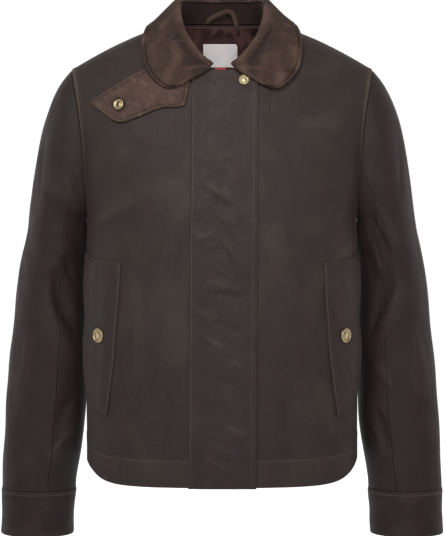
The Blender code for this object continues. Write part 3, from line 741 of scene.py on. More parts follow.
def brass(name, bright, dull):
    n = Nodes(name)
    tarnish = n.noise(420.0, 4.0, 0.6)
    shine = n.math("MULTIPLY_ADD", n.mark("wear_and_highlight"), 0.75, n.share(tarnish, 0.35), clamp=True)
    n.surface(
        Base_Color=n.mix(shine, dull, bright),
        Roughness=n.math("MULTIPLY_ADD", tarnish, 0.25, 0.26),
        Normal=n.bump(n.noise(1500.0, 2.0), 0.15, 0.0002),
        Metallic=1.0,
    )
    return n.look


def woven(name, base, edge):
    n = Nodes(name)
    weave = n.threads(LABEL_WEAVE)
    colour = n.mix(n.math("MULTIPLY_ADD", weave, 0.12, 0.12), base, edge)
    n.surface(
        Base_Color=n.mix(n.share(n.noise(120.0), 0.25), colour, edge),
        Normal=n.bump(weave, 0.3, 0.0002),
        Roughness=0.75,
        Specular_IOR_Level=0.25,
        Sheen_Weight=0.15,
    )
    return n.look


def thread(name, base):
    n = Nodes(name)
    twist = n.noise(1800.0, 2.0)
    n.surface(
        Base_Color=n.mix(twist, scaled(base, 0.7), scaled(base, 1.3)),
        Normal=n.bump(twist, 0.3, 0.0002),
        Roughness=0.6,
        Specular_IOR_Level=0.3,
    )
    return n.look


CLOTH = waxed_cotton("waxed_cotton", 1.0)
FLAP_LOOK = waxed_cotton("waxed_cotton_placket", 0.97, 0.42)
# The sleeves' and cuffs' waxed cotton at 0.72 of the body's colours: a painted shade, for sleeves that lie
# back from the body and turn aside.
SLEEVE_PAINTED_SHADE_LOOK = waxed_cotton("waxed_cotton_sleeve_painted_shade", 0.72)
# Each corduroy's second colour is the painted shade of its grooves.
CORD = corduroy("corduroy", (0.096, 0.058, 0.0445), (0.0040, 0.0022, 0.0018))
CORD_TAB = corduroy("corduroy_tab", (0.084, 0.052, 0.0410), (0.0030, 0.0018, 0.0015))
# The collar stand's inside: the collar's corduroy at about a quarter of its colours, a painted shade inside
# the neck.
CORD_INSIDE_PAINTED_SHADE = corduroy("corduroy_inside_painted_shade", (0.024, 0.0128, 0.0116), (0.0022, 0.0012, 0.0011))
FACING_LOOK = corduroy("corduroy_facing", (0.084, 0.042, 0.039), (0.014, 0.0065, 0.0062))
BRASS = brass("antique_brass", (0.44, 0.35, 0.21), (0.13, 0.092, 0.044))
THREAD_LOOK = thread("thread", (0.092, 0.077, 0.068))
CORD_THREAD = thread("corduroy_thread", (0.045, 0.029, 0.024))
WOVEN = woven("woven_label", (0.76, 0.71, 0.71), (0.62, 0.57, 0.57))
RED = woven("woven_size_tab", (0.46, 0.07, 0.07), (0.30, 0.03, 0.03))

# ---------------------------------------------------------------- creases

# Seen from the front: ((x, z), ...), width, height. Troughs have a height below 0.
FRONT_CREASES = (
    (((-0.182, -0.3), (-0.15, -0.262), (-0.108, -0.232)), 0.015, -0.0022),
    (((-0.178, -0.262), (-0.146, -0.238), (-0.118, -0.214)), 0.011, 0.0014),
    (((-0.088, -0.19), (-0.06, -0.221), (-0.052, -0.26)), 0.024, 0.0014),
    (((-0.116, -0.318), (-0.113, -0.38), (-0.12, -0.455)), 0.009, 0.0012),
    (((-0.1, -0.455), (-0.082, -0.494), (-0.086, -0.545)), 0.026, -0.0024),
    (((-0.132, -0.52), (-0.11, -0.56), (-0.104, -0.6)), 0.012, 0.0012),
    (((-0.06, -0.33), (-0.066, -0.4), (-0.056, -0.47)), 0.022, 0.0013),
    (((0.084, -0.44), (0.092, -0.48), (0.086, -0.545)), 0.024, -0.003),
    (((0.126, -0.462), (0.138, -0.494), (0.152, -0.545)), 0.01, 0.0018),
    (((0.062, -0.25), (0.08, -0.296), (0.076, -0.35)), 0.026, 0.0016),
    (((0.178, -0.25), (0.15, -0.262), (0.118, -0.3)), 0.013, -0.0016),
    (((0.18, -0.285), (0.158, -0.3), (0.134, -0.33)), 0.01, 0.0013),
    (((0.062, -0.12), (0.09, -0.15), (0.104, -0.205)), 0.02, -0.0012),
    (((0.112, -0.35), (0.108, -0.4), (0.114, -0.45)), 0.012, -0.0013),
    (((-0.15, -0.11), (-0.12, -0.15), (-0.084, -0.17)), 0.018, -0.0012),
    (((0.16, -0.11), (0.128, -0.12), (0.096, -0.106)), 0.016, 0.0011),
)
FLAP_CREASES = (
    (((-0.028, -0.198), (-0.006, -0.21), (0.014, -0.226)), 0.0065, 0.0015),
    (((-0.024, -0.212), (-0.004, -0.223), (0.012, -0.238)), 0.0055, -0.0014),
    (((-0.015, -0.24), (0.004, -0.248), (0.02, -0.256)), 0.0058, 0.0012),
    (((-0.036, -0.274), (-0.022, -0.271), (-0.008, -0.264)), 0.0062, 0.0012),
    (((-0.009, -0.284), (0.004, -0.297), (0.016, -0.316)), 0.006, -0.0017),
    (((-0.002, -0.278), (0.012, -0.29), (0.024, -0.306)), 0.0052, 0.0012),
    (((-0.027, -0.333), (0.001, -0.337), (0.032, -0.343)), 0.006, 0.0015),
    (((-0.022, -0.345), (0.003, -0.35), (0.03, -0.354)), 0.0055, -0.0013),
    (((-0.037, -0.37), (-0.02, -0.377), (-0.006, -0.387)), 0.006, 0.0014),
    (((-0.014, -0.384), (0.006, -0.391), (0.021, -0.4)), 0.0056, -0.0014),
    (((-0.027, -0.406), (-0.008, -0.416), (0.01, -0.43)), 0.0062, 0.0014),
    (((0.006, -0.438), (0.019, -0.443), (0.031, -0.452)), 0.0056, 0.0013),
    (((-0.015, -0.46), (0.001, -0.466), (0.014, -0.474)), 0.0058, -0.0012),
    (((0.006, -0.526), (0.019, -0.535), (0.031, -0.547)), 0.006, 0.0014),
    (((-0.03, -0.5), (-0.01, -0.506), (0.006, -0.498)), 0.0085, -0.0011),
    (((-0.026, -0.572), (-0.004, -0.579), (0.014, -0.59)), 0.007, 0.0011),
    (((-0.02, -0.122), (0.002, -0.127), (0.024, -0.12)), 0.0085, -0.0008),
    (((-0.024, -0.16), (-0.002, -0.166), (0.02, -0.158)), 0.008, 0.0008),
)
# Seen from the back
BACK_CREASES = (
    (((-0.176, -0.236), (-0.13, -0.25), (-0.08, -0.29)), 0.016, -0.003),
    (((-0.18, -0.205), (-0.136, -0.222), (-0.09, -0.252)), 0.011, 0.0022),
    (((0.178, -0.25), (0.14, -0.262), (0.094, -0.312)), 0.016, -0.0028),
    (((0.18, -0.214), (0.134, -0.23), (0.102, -0.246)), 0.012, 0.002),
    (((-0.03, -0.08), (-0.036, -0.18), (-0.022, -0.3)), 0.02, 0.0016),
    (((0.04, -0.1), (0.052, -0.2), (0.046, -0.33)), 0.022, -0.002),
    (((-0.12, -0.36), (-0.112, -0.45), (-0.128, -0.56)), 0.017, 0.0026),
    (((-0.086, -0.38), (-0.078, -0.47), (-0.09, -0.59)), 0.014, -0.0024),
    (((0.098, -0.4), (0.112, -0.48), (0.104, -0.595)), 0.016, 0.0026),
    (((0.134, -0.37), (0.144, -0.46), (0.138, -0.56)), 0.013, -0.0024),
    (((-0.012, -0.42), (0.004, -0.5), (-0.006, -0.6)), 0.019, 0.0018),
    (((-0.06, -0.04), (0.000, -0.052), (0.064, -0.038)), 0.014, -0.0012),
    (((-0.16, -0.33), (-0.12, -0.345), (-0.07, -0.33)), 0.015, -0.0018),
    (((0.158, -0.352), (0.11, -0.362), (0.06, -0.348)), 0.014, -0.0016),
)
# Sleeves, seen from the front
SLEEVE_FRONT_CREASES = (
    (((0.234, -0.318), (0.222, -0.366), (0.206, -0.42)), 0.011, -0.0062),
    (((0.248, -0.33), (0.236, -0.38), (0.218, -0.43)), 0.009, 0.0032),
    (((0.196, -0.256), (0.212, -0.296), (0.223, -0.338)), 0.005, 0.003),
    (((0.201, -0.24), (0.219, -0.274), (0.233, -0.312)), 0.0055, -0.0026),
    (((0.208, -0.226), (0.226, -0.256), (0.242, -0.296)), 0.006, 0.0022),
    (((0.195, -0.286), (0.206, -0.316), (0.213, -0.35)), 0.0045, -0.0024),
    (((0.214, -0.516), (0.224, -0.54), (0.23, -0.572)), 0.008, -0.003),
    (((0.206, -0.532), (0.218, -0.556), (0.226, -0.59)), 0.0055, 0.0024),
    (((0.204, -0.556), (0.218, -0.58), (0.236, -0.612)), 0.007, -0.0022),
    (((0.266, -0.39), (0.276, -0.45), (0.28, -0.51)), 0.014, 0.0024),
    (((0.252, -0.47), (0.248, -0.53), (0.256, -0.59)), 0.012, -0.0024),
    (((0.215, -0.45), (0.225, -0.474), (0.242, -0.492)), 0.008, 0.002),
    (((0.236, -0.12), (0.244, -0.17), (0.244, -0.23)), 0.013, -0.0016),
    (((-0.229, -0.318), (-0.223, -0.372), (-0.199, -0.425)), 0.011, -0.0062),
    (((-0.243, -0.33), (-0.237, -0.388), (-0.214, -0.436)), 0.009, 0.003),
    (((-0.239, -0.212), (-0.229, -0.248), (-0.223, -0.29)), 0.015, -0.004),
    (((-0.213, -0.184), (-0.208, -0.214), (-0.198, -0.246)), 0.006, 0.002),
    (((-0.226, -0.372), (-0.212, -0.388), (-0.197, -0.398)), 0.005, 0.0026),
    (((-0.22, -0.3), (-0.211, -0.33), (-0.2, -0.354)), 0.006, -0.0026),
    (((-0.208, -0.5), (-0.224, -0.528), (-0.233, -0.566)), 0.01, -0.0032),
    (((-0.206, -0.548), (-0.225, -0.566), (-0.242, -0.6)), 0.007, 0.0024),
    (((-0.266, -0.4), (-0.274, -0.452), (-0.284, -0.52)), 0.015, 0.0022),
    (((-0.248, -0.47), (-0.252, -0.524), (-0.249, -0.58)), 0.013, -0.0022),
    (((-0.24, -0.13), (-0.248, -0.18), (-0.25, -0.232)), 0.012, -0.0018),
)
# Sleeves, seen from the back
SLEEVE_BACK_CREASES = (
    (((0.208, -0.33), (0.236, -0.352), (0.268, -0.35)), 0.009, -0.0044),
    (((0.206, -0.356), (0.238, -0.376), (0.272, -0.38)), 0.008, 0.0034),
    (((0.21, -0.392), (0.24, -0.402), (0.27, -0.414)), 0.008, -0.0036),
    (((0.212, -0.52), (0.244, -0.536), (0.278, -0.56)), 0.01, -0.0026),
    (((0.234, -0.14), (0.238, -0.21), (0.248, -0.29)), 0.012, 0.0022),
    (((-0.206, -0.322), (-0.234, -0.34), (-0.266, -0.356)), 0.009, -0.0042),
    (((-0.208, -0.35), (-0.238, -0.366), (-0.27, -0.386)), 0.008, 0.0032),
    (((-0.212, -0.384), (-0.242, -0.404), (-0.272, -0.408)), 0.008, -0.0034),
    (((-0.214, -0.51), (-0.244, -0.53), (-0.28, -0.54)), 0.01, -0.0026),
    (((-0.232, -0.15), (-0.24, -0.22), (-0.246, -0.3)), 0.012, 0.002),
)

HEM_STITCH = 0.037
HEM_PUCKERS = (0.0117, 0.0193)
CREASE_FADE = 0.012
SHOULDER_FADE = 0.010
HEM_LINES = (*EDGE, 0.006, 0.0340, 0.0356, 0.0366, 0.0370, 0.0374, 0.0384, 0.0400)
SEAM_LINES = (*EDGE, 0.0030, 0.0050, 0.0064, 0.0076)


def front_relief(grid, normal):
    """The heights that the fronts and what lies on them share."""
    return creased(grid, normal, FRONT_CREASES, -1) + 0.00035 * lumps(grid, 0.055, 11)


def hem_relief(low, along_it):
    """A turned hem: a little thicker up to its stitches, which pull it in unevenly."""
    first, second = (along_it * 2 * np.pi / length for length in HEM_PUCKERS)
    pucker = 0.6 * np.sin(first) + 0.5 * np.sin(second + 1.3)
    turned = 0.0005 * fading(low, HEM_STITCH - 0.0008, 0.0007)
    pulled = 0.0006 * bump_at(low, HEM_STITCH, 0.0008)
    return turned - pulled + 0.0003 * pucker * bump_at(low, HEM_STITCH - 0.004, 0.006)


def seam_ridge(distance, width=0.0055, height=0.0007):
    """The seam's turnings under the cloth, which lift it beside the seam."""
    return height * fading(distance, width, 0.0006) * np.minimum(distance / 0.0012, 1.0)


# Pale marks: worn wax on crease ridges and the bands given, and the painted highlight that the front gives
# along its armhole seam.
def wear_and_highlight_mark(relief, *ridges):
    total = np.clip(relief / 0.004, 0.0, 0.22)
    for ridge in ridges:
        total = total + ridge
    return np.clip(total, 0.0, 1.0)


SMALLEST_CUT = 0.0101


def flat_size(cloth):
    """The cloth's face area and its flat width and length, in metres."""
    face = cloth["face"]
    up, side = face[1:, :-1] - face[:-1, :-1], face[:-1, 1:] - face[:-1, :-1]
    across = np.linalg.norm(np.cross(up, side), axis=-1)
    width = float(cloth["left"][:, -1].max())
    length = float(cloth["low"][-1].max())
    return float(across.sum()), width, length


def declare(cloth, node):
    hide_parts(node)
    area, width, length = flat_size(cloth)
    width, length = max(width, SMALLEST_CUT), max(length, SMALLEST_CUT)
    area = min(area, width * length)


HEM_FOLLOW = 0.35


def hem_distance(grid, low):
    """How far above the hem the cloth is, where the turning follows only part of the hem's rise."""
    rise = grid[0, :, 2] - grid[..., 2].min()
    return low + (1.0 - HEM_FOLLOW) * rise[None]


def front(side):
    heights = np.concatenate((np.linspace(0, 1, 90), np.linspace(1, 2, 90)[1:]))
    angles = np.concatenate((np.linspace(0.12, 60, 60), np.linspace(60, 90, 60)[1:]))
    grid = body_point(angles[None], heights[:, None])
    grid[:, 0, 0] = 0.0004
    grid = cut(grid, HEM_LINES, SEAM_LINES)
    grid = mirrored(cut(grid, EDGE, SEAM_LINES, axis=1), side)
    normal = normals(grid)
    left, right, low, high = travels(grid)
    outer = right if side > 0 else left
    turned_up = hem_distance(grid, low)
    above = grid[..., 2] > UNDERARM + 0.004
    relief = front_relief(grid, normal) * np.minimum(outer / CREASE_FADE, 1.0)
    ridge = seam_ridge(outer) * np.where(above, 1.0, 0.4)
    relief = relief * np.minimum(high / SHOULDER_FADE, 1.0) + hem_relief(turned_up, left)
    relief = relief + ridge + 0.6 * seam_ridge(high)
    wear_and_highlight = wear_and_highlight_mark(
        relief,
        0.20 * bump_at(turned_up, HEM_STITCH, 0.0022),
        # A painted highlight along the ridge of the armhole seam, above the underarm.
        0.50 * bump_at(outer, 0.0035, 0.0028) * above,
        0.16 * bump_at(low, 0.0, 0.0016),
        0.10 * bump_at(high, 0.005, 0.0020),
    )
    grid = grid + normal * relief[..., None]
    cloth = shell(f"front_{word_of(side)}_cloth", grid, WAXED, CLOTH, marks={"wear_and_highlight": wear_and_highlight})
    cloth["hem"] = turned_up
    return cloth, [on_face(cloth, "hem", HEM_STITCH), on_face(cloth, "high", 0.0062, (0.080, 0.004))]


def back():
    heights = np.concatenate((np.linspace(0, 1, 90), np.linspace(1, 2, 90)[1:]))
    grid = body_point(np.linspace(-90, 90, 180)[None], heights[:, None], True)
    grid = cut(grid, HEM_LINES, SEAM_LINES)
    grid = cut(grid, SEAM_LINES, SEAM_LINES, axis=1)
    normal = -normals(grid)
    left, right, low, high = travels(grid)
    outer = np.minimum(left, right)
    relief = creased(grid, normal, BACK_CREASES, 1) + 0.0004 * lumps(grid, 0.06, 12)
    relief = relief * np.minimum(outer / CREASE_FADE, 1.0) * np.minimum(high / SHOULDER_FADE, 1.0)
    relief = relief + hem_relief(low, left) + 0.5 * seam_ridge(outer)
    wear_and_highlight = wear_and_highlight_mark(relief, 0.20 * bump_at(low, HEM_STITCH, 0.0022), 0.16 * bump_at(low, 0.0, 0.0016))
    grid = grid + normal * relief[..., None]
    cloth = shell("back_cloth", grid, WAXED, CLOTH, flip=True, marks={"wear_and_highlight": wear_and_highlight})
    return cloth, [on_face(cloth, "low", HEM_STITCH)]


def sleeve(side, first, last, word):
    """One panel of a sleeve, from the armhole to the cuff seam."""
    angles = np.linspace(first, last, int((last - first) * 0.9))
    head = sleeve_head(angles[None], np.linspace(0, 1, 60)[:-1, None] + 0 * angles[None])
    rows = np.linspace(0.0, float(row_at(RINGS, CUFF_TOP)), 110)
    grid = np.concatenate((head, sleeve_ring(angles[None], rows[:, None])))
    grid = cut(grid, EDGE, EDGE)
    grid = mirrored(cut(grid, SEAM_LINES, SEAM_LINES, axis=1), side)
    normal = normals(grid)
    left, right, low, high = travels(grid)
    first_seam, last_seam = (left, right) if side > 0 else (right, left)
    relief = creased(grid, normal, SLEEVE_FRONT_CREASES, -1) + creased(grid, normal, SLEEVE_BACK_CREASES, 1)
    inner = np.clip((0.206 - np.abs(grid[..., 0])) / 0.012, 0.0, 1.0)
    relief = relief + 0.0022 * inner * bump_at(grid[..., 2], -0.275, 0.020)
    relief = relief + 0.0005 * lumps(grid, 0.05, 13 + side)
    relief = relief * np.minimum(low / 0.015, 1.0) * np.minimum(high / CREASE_FADE, 1.0)
    wear_and_highlight = [0.18 * bump_at(high, 0.001, 0.0012)]
    if word == "front":
        lap = seam_ridge(first_seam, 0.0065, 0.0008) + 0.5 * seam_ridge(last_seam)
        wear_and_highlight.append(0.30 * bump_at(first_seam, 0.0045, 0.0026))
    else:
        lap = 0.35 * (seam_ridge(first_seam) + seam_ridge(last_seam))
    wear_and_highlight = wear_and_highlight_mark(relief, *wear_and_highlight)
    grid = grid + normal * (relief + lap)[..., None]
    # The sleeve's material is the waxed cotton darkened as a painted shade.
    cloth = shell(f"sleeve_{word_of(side)}_{word}_cloth", grid, WAXED, SLEEVE_PAINTED_SHADE_LOOK, marks={"wear_and_highlight": wear_and_highlight})
    if word == "back":
        return cloth, []
    return cloth, [on_face(cloth, word_of(side), 0.0068, (0.02, 0.002))]


def cuff(side):
    angles = np.linspace(0, 360, 121)[:-1]
    first = float(row_at(RINGS, CUFF_TOP))
    grid = sleeve_ring(angles[None], np.linspace(first, len(RINGS) - 1.0, 40)[:, None])
    grid[0, :, 2] -= 0.0003
    grid = mirrored(cut(grid, (*EDGE, 0.0030, 0.0050, 0.0062), (*EDGE, 0.0030, 0.006)), side)
    normal = normals(grid, True)
    _, _, low, high = travels(grid)
    relief = 0.0009 * lumps(grid, 0.045, 20 + side) * np.minimum(low / 0.015, 1.0)
    relief = relief + 0.8 * seam_ridge(low, 0.0058) + 0.0006 * bump_at(high, 0.004, 0.004)
    wear_and_highlight = wear_and_highlight_mark(relief, 0.26 * bump_at(high, 0.0, 0.0020), 0.14 * bump_at(low, 0.0045, 0.0020))
    grid = grid + normal * relief[..., None]
    # The cuff's material is the sleeves' waxed cotton, darkened as a painted shade.
    cloth = shell(f"cuff_{word_of(side)}_cloth", grid, HEMMED, SLEEVE_PAINTED_SHADE_LOOK, ring=True, marks={"wear_and_highlight": wear_and_highlight})
    return cloth, [on_face(cloth, "low", 0.0056, (0.0, 0.0))]


def flap():
    """The placket: sewn along its right edge, free along its left one."""
    heights = np.concatenate((np.linspace(0, 1, 100), np.linspace(1, 1.999, 90)[1:]))
    half = body_point(90.0, heights)[:, 0]
    lean = FLAP_LEAN * np.clip((FLAP_LEAN_TOP - heights) / FLAP_LEAN_TOP, 0.0, 1.0)
    across = np.linspace(0, 1, 40)
    right_x, left_x = FLAP_RIGHT_X - lean, FLAP_LEFT_X - FLAP_LEFT_LEAN * lean
    x = right_x[:, None] * (1 - across) + left_x[:, None] * across
    grid = body_point(angle_at(x, half[:, None], FRONT_SQUARE), heights[:, None])
    grid = grid + normals(grid) * (WAXED + LAP_GAP)
    grid[0, :, 2] -= 0.001
    grid = cut(grid, (*EDGE, 0.004), (*EDGE, 0.004), step=FLAP_STEP)
    stitch_lines = (0.0058, 0.0066, FLAP_STITCH, 0.0074, 0.0082)
    grid = cut(grid, (*EDGE, 0.0030, 0.0042), (*EDGE, 0.0030, *stitch_lines), step=FLAP_STEP, axis=1)
    normal = normals(grid)
    left, right, low, _ = travels(grid)
    own = 1.5 * creased(grid, normal, FLAP_CREASES, -1) + 0.00028 * lumps(grid, 0.013, 31)
    own = own * np.clip((right - 0.004) / 0.010, 0.0, 1.0) * np.clip(left / 0.008, 0.0, 1.0)
    first, second = (grid[..., 2] * 2 * np.pi / length for length in FLAP_WAVES)
    wave = 0.0004 * (np.sin(first) + np.sin(second + 1.0)) + 0.0010
    relief = front_relief(grid, normal) + np.maximum(own, -0.0011)
    relief = relief + wave * np.clip(1.0 - right / 0.02, 0.0, 1.0)
    relief = relief + 0.0005 * bump_at(right, 0.0020, 0.003) - 0.0002 * bump_at(right, FLAP_STITCH, 0.0007)
    relief = relief - 0.0007 * bump_at(left, 0.0, 0.0016) + 0.0003 * bump_at(left, 0.003, 0.002)
    wear_and_highlight = wear_and_highlight_mark(
        np.maximum(own, 0.0) * 0.5,
        0.16 * bump_at(right, 0.0004, 0.0012),
        0.16 * bump_at(left, 0.0022, 0.0012),
        0.20 * bump_at(low, 0.0, 0.0012),
    )
    grid = grid + normal * relief[..., None]
    cloth = shell("front_placket_cloth", grid, WAXED, FLAP_LOOK, marks={"wear_and_highlight": wear_and_highlight})
    return cloth, [on_face(cloth, "right", FLAP_STITCH), on_face(cloth, "left", 0.0026)]


# Pocket from top to bottom: level, inner_x, outer_rise, stand_off
POCKET = np.array((
    (-0.3080, 0.1357, 0.0040, 0.0000),
    (-0.3400, 0.1372, 0.0050, 0.0026),
    (-0.3750, 0.1395, 0.0065, 0.0022),
    (-0.4110, 0.1422, 0.0085, 0.0006),
    (-0.4450, 0.1455, 0.0105, 0.0034),
    (-0.4850, 0.1505, 0.0130, 0.0026),
    (-0.5215, 0.1560, 0.0155, 0.0000),
))
POCKET_OUTER_ANGLE = 88.0
POCKET_SNAP_ANGLE = 59.5
POCKET_SNAP_LEVEL = -0.4110
POCKET_OPENING_POWER = 1.5
POCKET_STEP = 0.0028


def level_share(level):
    return (level - HEM) / (UNDERARM - HEM)


def pocket(side):
    rows = along(POCKET, np.linspace(0, len(POCKET) - 1, 120))
    across = np.linspace(0, 1, 50)
    height = level_share(rows[:, :1] + rows[:, 2:3] * across[None])
    half = body_point(90.0, height[:, 0])[:, 0]
    first = angle_at(rows[:, 1], half, FRONT_SQUARE)[:, None]
    grid = body_point(first + (POCKET_OUTER_ANGLE - first) * across[None], height)
    normal = normals(grid[::-1])[::-1]
    lift = WAXED + LAP_GAP + np.maximum(rows[:, 3:4], 0.0) * across[None] ** POCKET_OPENING_POWER
    grid = grid + normal * lift[..., None]
    grid = cut(grid, (*EDGE, 0.003), (*EDGE, 0.003), step=POCKET_STEP)
    grid = cut(grid, (*EDGE, 0.0030, 0.0046, 0.0058, 0.0070), (*EDGE, 0.003), step=POCKET_STEP, axis=1)
    grid = mirrored(grid[::-1], side)
    normal = normals(grid)
    left, right, low, high = travels(grid)
    inner, outer = (left, right) if side > 0 else (right, left)
    snap = np.linalg.norm(grid - pocket_snap(side)[0], axis=-1)
    own = 0.0004 * lumps(grid, 0.024, 41 + side) * np.clip(outer / 0.01, 0, 1)
    own = own - 0.0005 * bump_at(snap, 0.0, 0.016)
    fold = 0.0008 * bump_at(inner, 0.018, 0.008) * np.clip(low / 0.03, 0, 1) * np.clip(high / 0.03, 0, 1)
    relief = front_relief(grid, normal) + np.maximum(own, -0.0008) + fold
    wear_and_highlight = wear_and_highlight_mark(
        np.maximum(own, 0.0) * 0.5,
        0.14 * bump_at(inner, 0.0005, 0.0012),
        0.20 * bump_at(high, 0.0005, 0.0012),
        0.24 * bump_at(outer, 0.0005, 0.0016),
        0.10 * bump_at(low, 0.0005, 0.0012),
    )
    grid = grid + normal * relief[..., None]
    cloth = shell(f"pocket_{word_of(side)}_cloth", grid, WAXED, CLOTH, marks={"wear_and_highlight": wear_and_highlight})
    return cloth, [on_face(cloth, word_of(side), 0.0022, (0.002, 0.002))]


def pocket_snap(side):
    angles = POCKET_SNAP_ANGLE + np.array((-0.5, 0.0, 0.5))
    heights = level_share(POCKET_SNAP_LEVEL) + np.array((-0.01, 0.0, 0.01))
    patch = body_point(angles[None], heights[:, None])
    normal = normals(patch)[1, 1]
    seat = patch[1, 1] + normal * (1.5 * WAXED + LAP_GAP)
    flip = np.array((side, 1.0, 1.0))
    return seat * flip, normal * flip


# ---------------------------------------------------------------- collar


def fold_points(s):
    """Three points over the fold, the free edge and the way out, at each place along the collar."""
    row = along(COLLAR, s)
    fold, edge = row[:, :3], seated(row[:, 3:], COLLAR_LIFT)
    drop = edge - fold
    out = drop * (1, 1, 0)
    flat = np.linalg.norm(out, axis=1, keepdims=True)
    out = np.where(flat > 1e-6, unit(out), np.array((0.0, 1.0, 0.0)))
    fall = np.minimum(np.linalg.norm(drop, axis=1, keepdims=True) / 0.05, 1.0)
    up = np.array((0.0, 0.0, 1.0))
    inner = fold - up * FOLD_INSIDE * fall
    crest = fold + out * FOLD_ROUND * 0.5 * fall + up * FOLD_ROUND * 0.35 * fall
    outer = fold + out * FOLD_ROUND * 1.6 * fall - up * FOLD_ROUND * 0.4 * fall
    return inner, crest, outer, edge, out, fall


def even_curves(lines, count):
    """Each row's points joined by a smooth curve, as this many evenly spaced points."""
    span = np.maximum(np.linalg.norm(np.diff(lines, axis=1), axis=-1, keepdims=True), 1e-6)
    slope = np.diff(lines, axis=1) / span
    inner = (slope[:, :-1] * span[:, 1:] + slope[:, 1:] * span[:, :-1]) / (span[:, 1:] + span[:, :-1])
    tangent = np.concatenate((slope[:, :1], inner, slope[:, -1:]), axis=1)
    leave, arrive = tangent[:, :-1] * span, tangent[:, 1:] * span
    steps = np.linspace(0, 1, 12, endpoint=False)
    fine = np.stack([hermite(lines[:, :-1], leave, lines[:, 1:], arrive, t) for t in steps], axis=2)
    fine = np.concatenate((fine.reshape(len(lines), -1, 3), lines[:, -1:]), axis=1)
    share = np.linspace(0, 1, count)
    made = []
    for row in fine:
        runs = run_along(row)
        made.append(at_runs(share * runs[-1], runs, row))
    return np.array(made)


def collar_half(count):
    """The wale lines from the centre back to the bottom of the leaf, as rows of points."""
    key = np.linspace(0, 1, 400)
    back_part = np.linspace(0, 1, len(WALE_START))
    front_part = np.linspace(0, 1, len(LEAF_START))
    starts, ends = (
        np.concatenate((np.interp(key, back_part, on_back), np.interp(key, front_part, on_leaf)[1:]))
        for on_back, on_leaf in ((WALE_START, LEAF_START), (WALE_END, LEAF_END))
    )
    past = np.arange(len(starts))[:, None] - len(key)
    ease = np.clip(past / LEAF_EASE, 0.0, 1.0)
    inner, crest, outer, start_edge, out, fall = fold_points(starts)
    end_edge = fold_points(ends)[3]
    head = np.where(past >= 0, outer * (1 - ease) + start_edge * ease, outer)
    lead = unit(end_edge - head)
    inner = np.where(past >= 0, (inner - outer) * (1 - ease) + head, inner)
    crest = np.where(past >= 0, (crest - outer) * (1 - ease) + head + lead * 0.0006 * ease, crest)
    head = head + lead * 0.0012 * ease
    rounded = (out + np.array((0, 0, 0.7))) * COLLAR_BULGE * fall * (1 - ease)
    bulge = head * 0.55 + end_edge * 0.45 + rounded
    rows = [inner, crest, head]
    for t in (0.25, 0.5, 0.75):
        rows.append(head * (1 - t) ** 2 + bulge * 2 * t * (1 - t) + end_edge * t * t)
    rows.append(end_edge)
    fine = even_curves(np.stack(rows, axis=1), COLLAR_COLUMNS)
    share = np.linspace(0, 1, COLLAR_COLUMNS)[None] + 0 * fine[..., 0]
    here = np.linalg.norm(fine - HEART, axis=-1)
    need = COLLAR_LIFT * (0.75 + 0.25 * share)
    short = np.maximum(reach_of(fine) * here + need - here, 0.0) * np.clip((share - 0.3) / 0.2, 0, 1)
    even = np.ones(2 * COLLAR_SMOOTHING + 1) / (2 * COLLAR_SMOOTHING + 1)
    padded = [np.pad(line, COLLAR_SMOOTHING, mode="edge") for line in short.T]
    short = np.array([np.convolve(line, even, "valid") for line in padded]).T
    fine = fine + unit(fine - HEART) * short[..., None]
    runs = run_along(fine[:, 14:34].mean(axis=1))
    made = at_runs(np.linspace(0, runs[-1], count), runs, fine.reshape(len(fine), -1))
    return made.reshape(count, COLLAR_COLUMNS, 3), runs[-1]


def pile_at(position):
    """Height of the wales, from 0 in a groove to 1 on a ridge."""
    phase = np.mod(position / WALE, 1.0)
    return 1.0 - np.abs(2 * phase - 1.0) ** 2.2


def collar_fall():
    count = int(collar_half(300)[1] / WALE * WALE_LINES) + 1
    half, length = collar_half(count)
    grid = np.concatenate(((half * (-1, 1, 1))[:0:-1], half))
    last = (*THICK_EDGE, 0.0040, 0.0052, CORD_STITCH, 0.0068, 0.0080)
    grid = cut(grid, (*THICK_EDGE, 0.004), last, step=0.0034, axis=1)
    normal = normals(grid)
    left, right, _, _ = travels(grid)
    where = np.abs(np.linspace(-length, length, len(grid)))[:, None] + WALE / 2
    pile_and_groove_shade = pile_at(where) + 0 * left
    crushed = 1.0 - 0.7 * bump_at(right, CORD_STITCH, 0.0010) - 0.5 * bump_at(right, 0.0, 0.0015)
    nap = 0.0006 * lumps(grid, 0.035, 51) * np.clip(left / 0.02, 0, 1) * np.clip(right / 0.01, 0, 1)
    roll = 0.0005 * bump_at(right, 0.003, 0.0022) - 0.0006 * bump_at(right, CORD_STITCH, 0.0009)
    spacing = np.linalg.norm(np.gradient(grid, axis=0), axis=-1) * WALE_LINES / WALE
    open_wales = np.clip((spacing - 0.25) / 0.4, 0.0, 1.0)
    relief = WALE_HEIGHT * (pile_and_groove_shade - 0.5) * crushed * open_wales + nap + roll
    tips = np.minimum(np.arange(len(grid)), np.arange(len(grid))[::-1])[:, None]
    relief = relief * np.clip(tips / 6.0, 0, 1)
    wear_and_highlight = 0.08 * bump_at(right, 0.0012, 0.0016) + 0.14 * bump_at(left, 0.008, 0.004)
    wear_and_highlight = np.clip(wear_and_highlight + 0.11 * lumps(grid, 0.022, 52), 0, 1)
    # The pile mark paints shade in the wale grooves, darker along the edge and the stitches where the pile
    # is crushed.
    shade = SMOOTH_PILE + (pile_and_groove_shade * crushed - SMOOTH_PILE) * open_wales
    grid = grid + normal * relief[..., None]
    marks = {"pile_and_groove_shade": shade, "wear_and_highlight": wear_and_highlight}
    cloth = shell("collar_fall_cloth", grid, CORDUROY, CORD, rounding=CORD_ROUNDING, marks=marks)
    return cloth, [on_face(cloth, "right", CORD_STITCH, (0.010, 0.010))]


def neck_seam(share):
    turn = np.pi * share
    x = NECK_HALF * np.sin(turn) ** 0.9
    made = np.where(share < 0.5, neckline(x, True), neckline(x, False))
    y = np.where(share < 0.5, body_y(x, made, True), body_y(x, made, False))
    return stacked(x, y, made)


